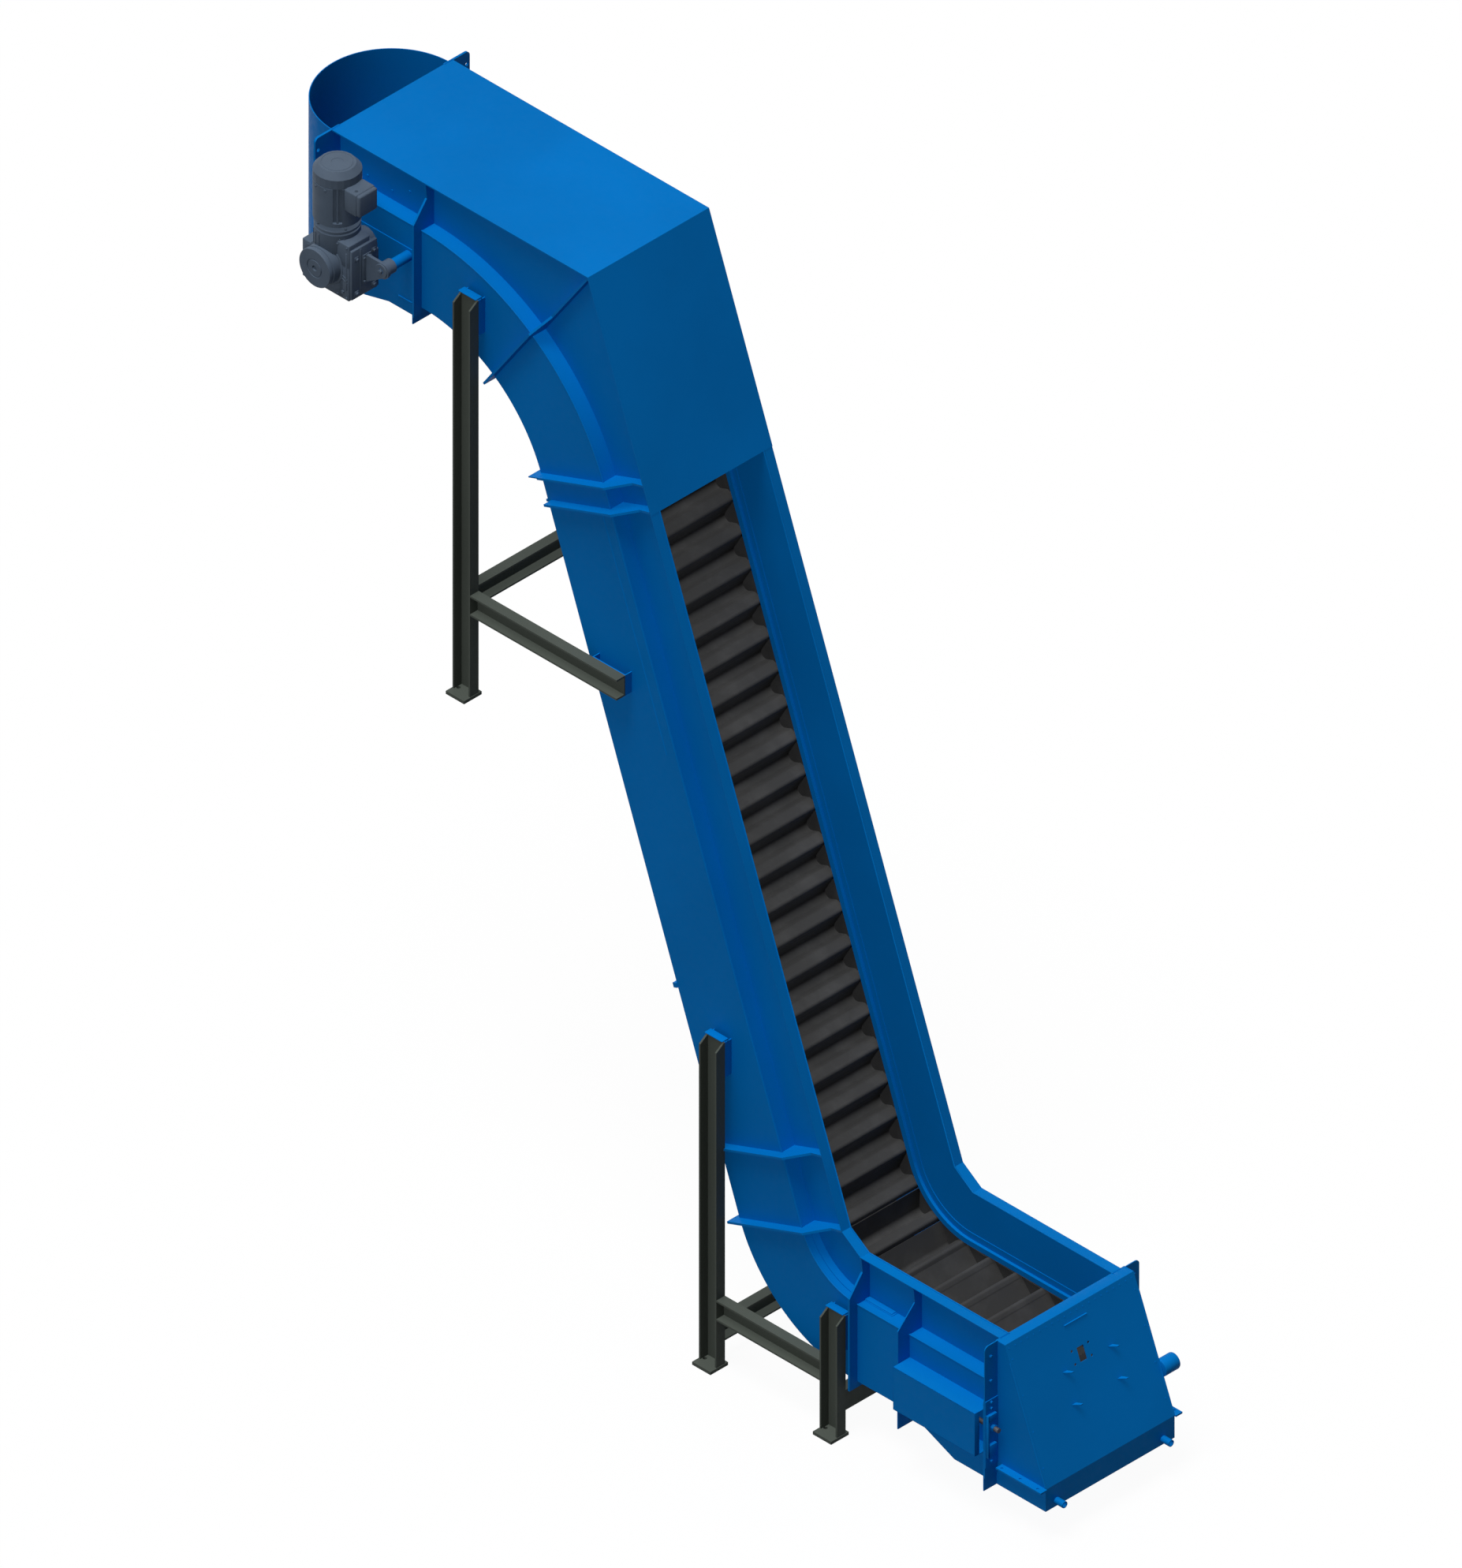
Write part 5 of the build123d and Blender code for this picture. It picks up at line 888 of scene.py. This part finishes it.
def tail_box_walls():
    """Walls at the full width, the top band, the end flange and the sump flanges."""
    box = Piece("tail_box_walls")
    shift = SHEET * math.hypot(1.0, TAIL_SLOPE)
    for side in (-1, 1):
        box.slab([
            (TAIL_JOINT_X, side * HALF_WIDTH, TAIL_BACK),
            (TAIL_JOINT_X + TAIL_LENGTH - shift, side * HALF_WIDTH, TAIL_BACK),
            (TAIL_JOINT_X + TAIL_LENGTH - TAIL_SLOPE * LIP - shift, side * HALF_WIDTH, LIP_Z),
            (TAIL_JOINT_X, side * HALF_WIDTH, LIP_Z),
        ], (0.0, -side * SHEET, 0.0))
    band_end = TAIL_JOINT_X + TAIL_LENGTH - TAIL_SLOPE * LIP
    step_x = TAIL_JOINT_X - 0.008
    box.box((step_x, -HALF_WIDTH, LIP_Z - SHEET), (band_end, HALF_WIDTH, LIP_Z), 0.001)
    box.box((step_x, -UPPER_HALF, LIP_Z - 0.060), (step_x + SHEET, UPPER_HALF, LIP_Z - 0.001))
    inner = HALF_WIDTH - 0.002
    low = TAIL_BACK - 0.046
    top = LIP_Z + 0.004
    flange = [(inner, low), (END_OUT, low)] + flange_corner(top) + [(inner, top)]
    for side in (-1, 1):
        box.plate([(TAIL_JOINT_X, side * y, z) for y, z in flange], (FLANGE_SHEET, 0.0, 0.0))
    ledge_start = TAIL_JOINT_X + 0.0305
    ledge_stop = TAIL_JOINT_X + TAIL_LENGTH + 0.008
    for side in (-1, 1):
        wall = side * HALF_WIDTH
        rim = side * (HALF_WIDTH + 0.037)
        ledge = [(ledge_start, wall), (ledge_stop, wall), (ledge_stop, rim), (ledge_start, rim)]
        holes = [ring_of((x, side * (HALF_WIDTH + 0.022), TAIL_BACK), UP, 0.006) for x in SUMP_BOLTS]
        box.plate([(x, y, TAIL_BACK) for x, y in ledge], (0.0, 0.0, 0.004), holes)
    box.done("casing_blue", instead=("tail_box",), smooth=SHEET_SMOOTH)


def tail_end_sheet():
    """Slanted end sheet with its inspection opening, holes, rivet row, ledge and four lugs."""
    end = Piece("tail_end_sheet")
    lean = math.hypot(1.0, TAIL_SLOPE)
    inward = Vector((-SHEET / lean, 0.0, -SHEET * TAIL_SLOPE / lean))
    edges = ((-HALF_WIDTH, 0.0), (HALF_WIDTH, 0.0), (HALF_WIDTH, LIP), (-HALF_WIDTH, LIP))
    outline = [slant_point(y, h) for y, h in edges]
    door = [slant_point(y, h) for y, h in ((-0.019, 0.381), (0.019, 0.381), (0.019, 0.441), (-0.019, 0.441))]
    loops = [door]
    for y, h in ((-0.047, 0.384), (0.047, 0.384), (-0.047, 0.438), (0.047, 0.438)):
        loops.append(ring_of(slant_point(y, h), inward, 0.006))
    end.plate(outline, inward, loops)
    rivets = [(-0.35 + 0.035 * index, LIP - 0.020) for index in range(21)]
    rivets += [(side * (HALF_WIDTH - 0.020), 0.08 + 0.15 * index) for index in range(4) for side in (-1, 1)]
    for spot in rivets:
        end.rod(slant_point(*spot), slant_point(*spot, 0.002), 0.0035, 8)
    left, right = (slant_point(y, 0.546) for y in (-0.052, 0.076))
    depth = Vector((0.007, 0.0, 0.0))
    end.slab([left, right, right + depth, left + depth], (0.0, 0.0, 0.003))
    reach = Vector((0.026, 0.0, 0.0))
    for y in (-0.105, 0.155):
        for h in (0.246, 0.379):
            root = [slant_point(y - 0.018, h), slant_point(y + 0.006, h)]
            tip = [slant_point(y + 0.022, h) + reach, slant_point(y + 0.008, h) + reach]
            end.slab(root + tip, (0.0, 0.0, 0.004))
    end.done("casing_blue", instead=("tail_end_plate",))
    wall = HALF_WIDTH - 0.001
    corners = [[slant_point(side * wall, h, -0.001) for h in (0.006, 0.52)] for side in (-1, 1)]
    bead("tail_corner_folds", corners, FOLD_RADIUS, "casing_blue")


def take_up_details():
    """Doubler, bracket bars and nuts on the tail flange, the far wall cover and the shelf cover."""
    bars = Piece("take_up_flange_bars")
    start = TAIL_JOINT_X + FLANGE_SHEET
    face = start + 0.004
    screw_y = 0.400
    screw_z = 0.4568
    doubler = ((0.369, 0.272), (0.440, 0.272), (0.440, 0.599), (0.369, 0.599))
    for side in (-1, 1):
        hole = ring_of((start, side * screw_y, screw_z), TAILWARD, 0.014)
        bars.plate([(start, side * y, z) for y, z in doubler], (0.004, 0.0, 0.0), [hole])
        low, high = sorted((side * 0.388, side * 0.437))
        bars.box((face, low, 0.325), (start + 0.018, high, 0.385), 0.0015)
        bars.box((face, low, 0.500), (start + 0.018, high, 0.533), 0.0015)
        low, high = sorted((side * 0.430, side * 0.4385))
        bars.box((face, low, 0.325), (start + 0.018, high, 0.533), 0.001)
        for z in (0.556, 0.585, 0.295):
            bars.bolt((face, side * 0.408, z), TAILWARD, 0.008)
        for z in (0.690, 0.810):
            bars.bolt((start, side * 0.408, z), TAILWARD, 0.008)
    bars.rod((1.4475, HALF_WIDTH, 0.457), (1.4475, HALF_WIDTH + 0.082, 0.457), 0.038, 48, bevel=0.004)
    bars.done("casing_blue")
    nuts = Piece("take_up_nut_heads")
    for side in (-1, 1):
        seat = Vector((face, side * screw_y, screw_z))
        nuts.rod(seat, seat + Vector((0.014, 0.0, 0.0)), 0.0165, 6, bevel=0.001)
    nuts.done("casing_blue", instead=("take_up_nuts",))
    cover = Piece("shelf_cover_sheet")
    cover.box((0.458, -0.330, TAIL_BACK + SHELF), (0.617, -0.299, TAIL_BACK + SHELF + 0.003), 0.001)
    cover.box((0.458, -0.326, TAIL_BACK + SHELF + 0.003), (0.610, -0.299, TAIL_BACK + SHELF + 0.007), 0.0015)
    cover.done("casing_blue", instead=("shelf_cover",))


def head_wall_details():
    """Upper parts of the head end flange, wall doubler with a round corner and a short ledge."""
    plates = Piece("head_end_flange_tops")
    wall = HALF_WIDTH + 0.001
    neck = UPPER_HALF + 0.001
    low = HEAD_SHELF_Z - 0.062
    ledge = HEAD_SHELF_Z + 0.0005
    top = HEAD_TOP + 0.003
    low_x = HEAD_END_X - 0.0052
    outline = [(wall, low), (END_OUT, low)] + flange_corner(top) + [(neck, top), (neck, ledge), (wall, ledge)]
    for side in (-1, 1):
        holes = [ring_of((low_x, side * 0.424, z), TAILWARD, 0.009) for z in (4.871, 4.74)]
        plates.plate([(low_x, side * y, z) for y, z in outline], (0.0104, 0.0, 0.0), holes)
    plates.done("casing_blue", smooth=SHEET_SMOOTH)
    doubler = Piece("head_wall_doublers")
    right = CONVEX[0] - 0.014
    top = HEAD_BACK + 0.2585
    outline = [(HEAD_END_X + 0.008, HEAD_BACK), (right, HEAD_BACK)]
    radius = 0.030
    steps = 6
    for step in range(steps + 1):
        turn = math.pi / 2 * step / steps
        outline.append((right - radius * (1 - math.cos(turn)), top - radius * (1 - math.sin(turn))))
    outline.append((HEAD_END_X + 0.008, top))
    for side in (-1, 1):
        doubler.slab([(x, side * HALF_WIDTH, z) for x, z in outline], (0.0, side * 0.004, 0.0))
        low, high = sorted((side * (HALF_WIDTH + 0.002), side * (HALF_WIDTH + 0.008)))
        doubler.box((-2.159, low, HEAD_BACK - 0.002), (-2.080, high, HEAD_BACK + 0.002), 0.0005)
        for x, z in ((-2.27, 4.754), (-2.41, 4.76), (-2.17, 4.80)):
            doubler.rod((x, side * UPPER_HALF, z), (x, side * (UPPER_HALF + 0.004), z), 0.006, 12)
    doubler.done("casing_blue")


def trough_outline():
    """Section of the incline casing, as places across the width and out from the back sheet."""
    lip = UPPER_HALF + LIP_OUT
    side = [
        (HALF_WIDTH, 0.0), (HALF_WIDTH, SHELF), (UPPER_HALF, SHELF), (UPPER_HALF, LIP - SHEET),
        (lip, LIP - SHEET), (lip, LIP), (UPPER_HALF - SHEET, LIP), (UPPER_HALF - SHEET, SHELF - SHEET),
        (HALF_WIDTH - SHEET, SHELF - SHEET), (HALF_WIDTH - SHEET, SHEET),
    ]
    return side + [(-y, out) for y, out in reversed(side)]


def flange_outline(side):
    """Flange plate of one wall, stepped in over the shelf."""
    wall = HALF_WIDTH - ROOTED
    neck = UPPER_HALF - ROOTED
    outline = [
        (HALF_WIDTH + 0.045, 0.020), (HALF_WIDTH + 0.045, 0.425), (UPPER_HALF + 0.041, 0.5226),
        (UPPER_HALF + LIP_OUT, LIP - ROOTED), (neck, LIP - ROOTED), (neck, SHELF - ROOTED),
        (wall, SHELF - ROOTED), (wall, 0.020),
    ]
    return [(side * y, out) for y, out in outline]


def square_to_incline(outline, distance):
    """Places of a section outline at a distance up the incline."""
    places = []
    for y, out in outline:
        x, z = incline_point(distance, out)
        places.append((x, y, z))
    return places


def incline_section(name, node, low, high, flanges=(), bolt_rows=(), stub=None):
    """Straight casing section with its flange plates, the bolts under them and a stub behind it."""
    section = Piece(name)
    section.slab(square_to_incline(trough_outline(), low), UP_INCLINE * (high - low))
    back = [(-HALF_WIDTH, -0.012), (HALF_WIDTH, -0.012), (HALF_WIDTH, ROOTED), (-HALF_WIDTH, ROOTED)]
    for distance in flanges:
        for outline in (flange_outline(-1), flange_outline(1), back):
            section.slab(square_to_incline(outline, distance), UP_INCLINE * FLANGE_SHEET)
    for distance in bolt_rows:
        row = [(side * (HALF_WIDTH + 0.024), 0.09 + 0.055 * index) for index in range(6) for side in (-1, 1)]
        for seat in square_to_incline(row, distance):
            section.rod(seat, Vector(seat) - UP_INCLINE * 0.007, 0.0062, 6)
    if stub:
        foot = ((0.374, -0.020), (0.340, -0.020), (0.340, 0.001), (0.374, 0.001))
        for side in (-1, 1):
            ends = [(side * y, out) for y, out in foot]
            section.slab(square_to_incline(ends, stub), UP_INCLINE * 0.022)
    section.done("casing_blue", instead=(node,), smooth=SHEET_SMOOTH)


def incline_lines():
    """Narrow bevelled strips along the shelf's outer edge and high up on the wall below it."""
    strips = Piece("incline_shelf_edges")
    high = WINDOW_JOINT - 0.012
    for out, rise, low in ((SHELF, 0.007, 0.006), (0.3225, 0.004, 2.10)):
        start = out - rise / 2
        inner = HALF_WIDTH - rise / 2
        outline = [(HALF_WIDTH + rise / 2, start), (inner, start + rise), (inner, start)]
        for side in (-1, 1):
            section = square_to_incline([(side * y, place) for y, place in outline], low)
            strips.slab(section, UP_INCLINE * (high - low))
    strips.done("casing_blue", smooth=SHEET_SMOOTH)


def concave_strip():
    """Doubling strip on the inner half of the shelf round the concave bend."""
    strip = Piece("concave_shelf_strip")
    turns = [TILT * step / ARC_STEPS for step in range(ARC_STEPS + 1)]
    outline = []
    for lift, way_round in ((0.0005, turns), (-0.004, turns[::-1])):
        reach = CONCAVE_RADIUS - SHELF + lift
        for turn in way_round:
            x = CONCAVE_X - reach * math.sin(turn)
            outline.append((x, -(UPPER_HALF + 0.001), CONCAVE_Z - reach * math.cos(turn)))
    strip.slab(outline, (0.0, -0.036, 0.0))
    strip.mirror_width()
    strip.done("casing_blue", smooth=SHEET_SMOOTH)


def leg_bracket_caps():
    """Bent caps of the blue brackets over the tops of the legs."""
    caps = Piece("leg_bracket_caps")
    for legs in ("head_legs", "rear_legs", "front_legs"):
        low, high = (Vector(corner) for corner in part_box(legs))
        middle = (low.x + high.x) / 2
        caps.box((middle - 0.050, -0.4235, high.z + 0.008), (middle + 0.050, -0.3865, high.z + 0.012), 0.001)
        caps.box((middle - 0.050, -0.3905, high.z - 0.020), (middle + 0.050, -0.3865, high.z + 0.0115), 0.001)
    caps.mirror_width()
    caps.done("casing_blue")


def take_up_guards():
    """Sheet guards over the take-up slots, open at the tail end."""
    low, high = (Vector(corner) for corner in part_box("take_up_guard_near"))
    shell = Piece("take_up_guard_shells")
    shell.box(low, (high.x, low.y + SHEET, high.z), 0.0008)
    shell.box((low.x, low.y, high.z - SHEET), high, 0.0008)
    shell.box(low, (high.x, high.y, low.z + SHEET), 0.0008)
    shell.box(low, (low.x + SHEET, high.y, high.z), 0.0008)
    shell.box((high.x - SHEET, low.y, low.z), (high.x, low.y + 0.025, high.z), 0.0008)
    shell.mirror_width()
    shell.done("guard_blue", instead=("take_up_guard_near", "take_up_guard_far"))


tail_box_walls()
tail_end_sheet()
take_up_details()
head_wall_details()
incline_section(
    "incline_lower_sheets", "incline_lower", FOOT_JOINT, MIDDLE_JOINT,
    (FOOT_JOINT,), (FOOT_JOINT - 0.0052,), STUB_AT,
)
incline_section("incline_upper_sheets", "incline_upper", MIDDLE_JOINT, SPACER_LOW)
incline_section("spacer_sheets", "spacer_section", SPACER_LOW, SPACER_HIGH)
incline_section(
    "incline_top_sheets", "incline_top", SPACER_HIGH, INCLINE,
    (WINDOW_JOINT - FLANGE_SHEET - JOINT_GAP, WINDOW_JOINT, INCLINE - FLANGE_SHEET),
    (WINDOW_JOINT - FLANGE_SHEET,),
)
incline_lines()
concave_strip()
leg_bracket_caps()
take_up_guards()

# lamps: one casts the soft shadow, its twin fills without one
fall = Vector((0.0, WALL_LIGHT, -LEVEL_LIGHT))
strength = math.pi * fall.length
for label, share, casts in (("key", SHADOW_SHARE, True), ("fill", 1 - SHADOW_SHARE, False)):
    lamp = bpy.data.lights.new("sun_" + label, "SUN")
    lamp.energy = strength * share
    lamp.angle = LAMP_SPREAD
    lamp.use_shadow = casts
    lamp.specular_factor = 0.4
    sun = bpy.data.objects.new("sun_" + label, lamp)
    sun.rotation_mode = "QUATERNION"
    sun.rotation_quaternion = fall.to_track_quat("-Z", "Y")
    scene.collection.objects.link(sun)

# world: dim on the object, white to the camera and to reflections
world = bpy.data.worlds.new("studio")
scene.world = world
world.use_nodes = True
sky = world.node_tree
sky.nodes.clear()
path = sky.nodes.new("ShaderNodeLightPath")
clear = sky.nodes.new("ShaderNodeMath")
clear.operation = "MAXIMUM"
sky.links.new(path.outputs["Is Camera Ray"], clear.inputs[0])
sky.links.new(path.outputs["Is Transmission Ray"], clear.inputs[1])
seen = sky.nodes.new("ShaderNodeMath")
seen.operation = "MAXIMUM"
sky.links.new(clear.outputs[0], seen.inputs[0])
sky.links.new(path.outputs["Is Glossy Ray"], seen.inputs[1])
level = sky.nodes.new("ShaderNodeMapRange")
level.inputs["To Min"].default_value = SKY_LIGHT
level.inputs["To Max"].default_value = 1.0
sky.links.new(seen.outputs[0], level.inputs["Value"])
back = sky.nodes.new("ShaderNodeBackground")
back.inputs["Color"].default_value = (1.0, 1.0, 1.0, 1.0)
sky.links.new(level.outputs[0], back.inputs["Strength"])
out = sky.nodes.new("ShaderNodeOutputWorld")
sky.links.new(back.outputs[0], out.inputs["Surface"])

# floor: white to the camera, keeping a light shadow of the machine
floor_shader = Shader("floor_white")
lit = floor_shader.node("ShaderNodeLightPath", {}, {}, "Is Camera Ray")
mirrored_view = floor_shader.node("ShaderNodeLightPath", {}, {}, "Is Glossy Ray")
through_view = floor_shader.node("ShaderNodeLightPath", {}, {}, "Is Transmission Ray")
bright = floor_shader.mix(lit, (SKY_LIGHT, SKY_LIGHT, SKY_LIGHT, 1.0), (1.0, 1.0, 1.0, 1.0))
matt = floor_shader.node("ShaderNodeBsdfDiffuse", {}, {"Color": bright})
glow = floor_shader.node("ShaderNodeEmission", {}, {"Color": (1.0, 1.0, 1.0, 1.0), "Strength": 1.0})
share = (lit + mirrored_view + through_view) * (1 - FLOOR_SHADOW)
surface = floor_shader.node("ShaderNodeMixShader", {}, {0: share, 1: matt, 2: glow})
floor_shader.show(surface)
floor_mesh = bmesh.new()
bmesh.ops.create_grid(floor_mesh, x_segments=1, y_segments=1, size=30.0)
floor_data = bpy.data.meshes.new("floor")
floor_mesh.to_mesh(floor_data)
floor_mesh.free()
floor_data.materials.append(floor_shader.material)
floor = bpy.data.objects.new("floor", floor_data)
scene.collection.objects.link(floor)

scene.view_settings.view_transform = "Standard"
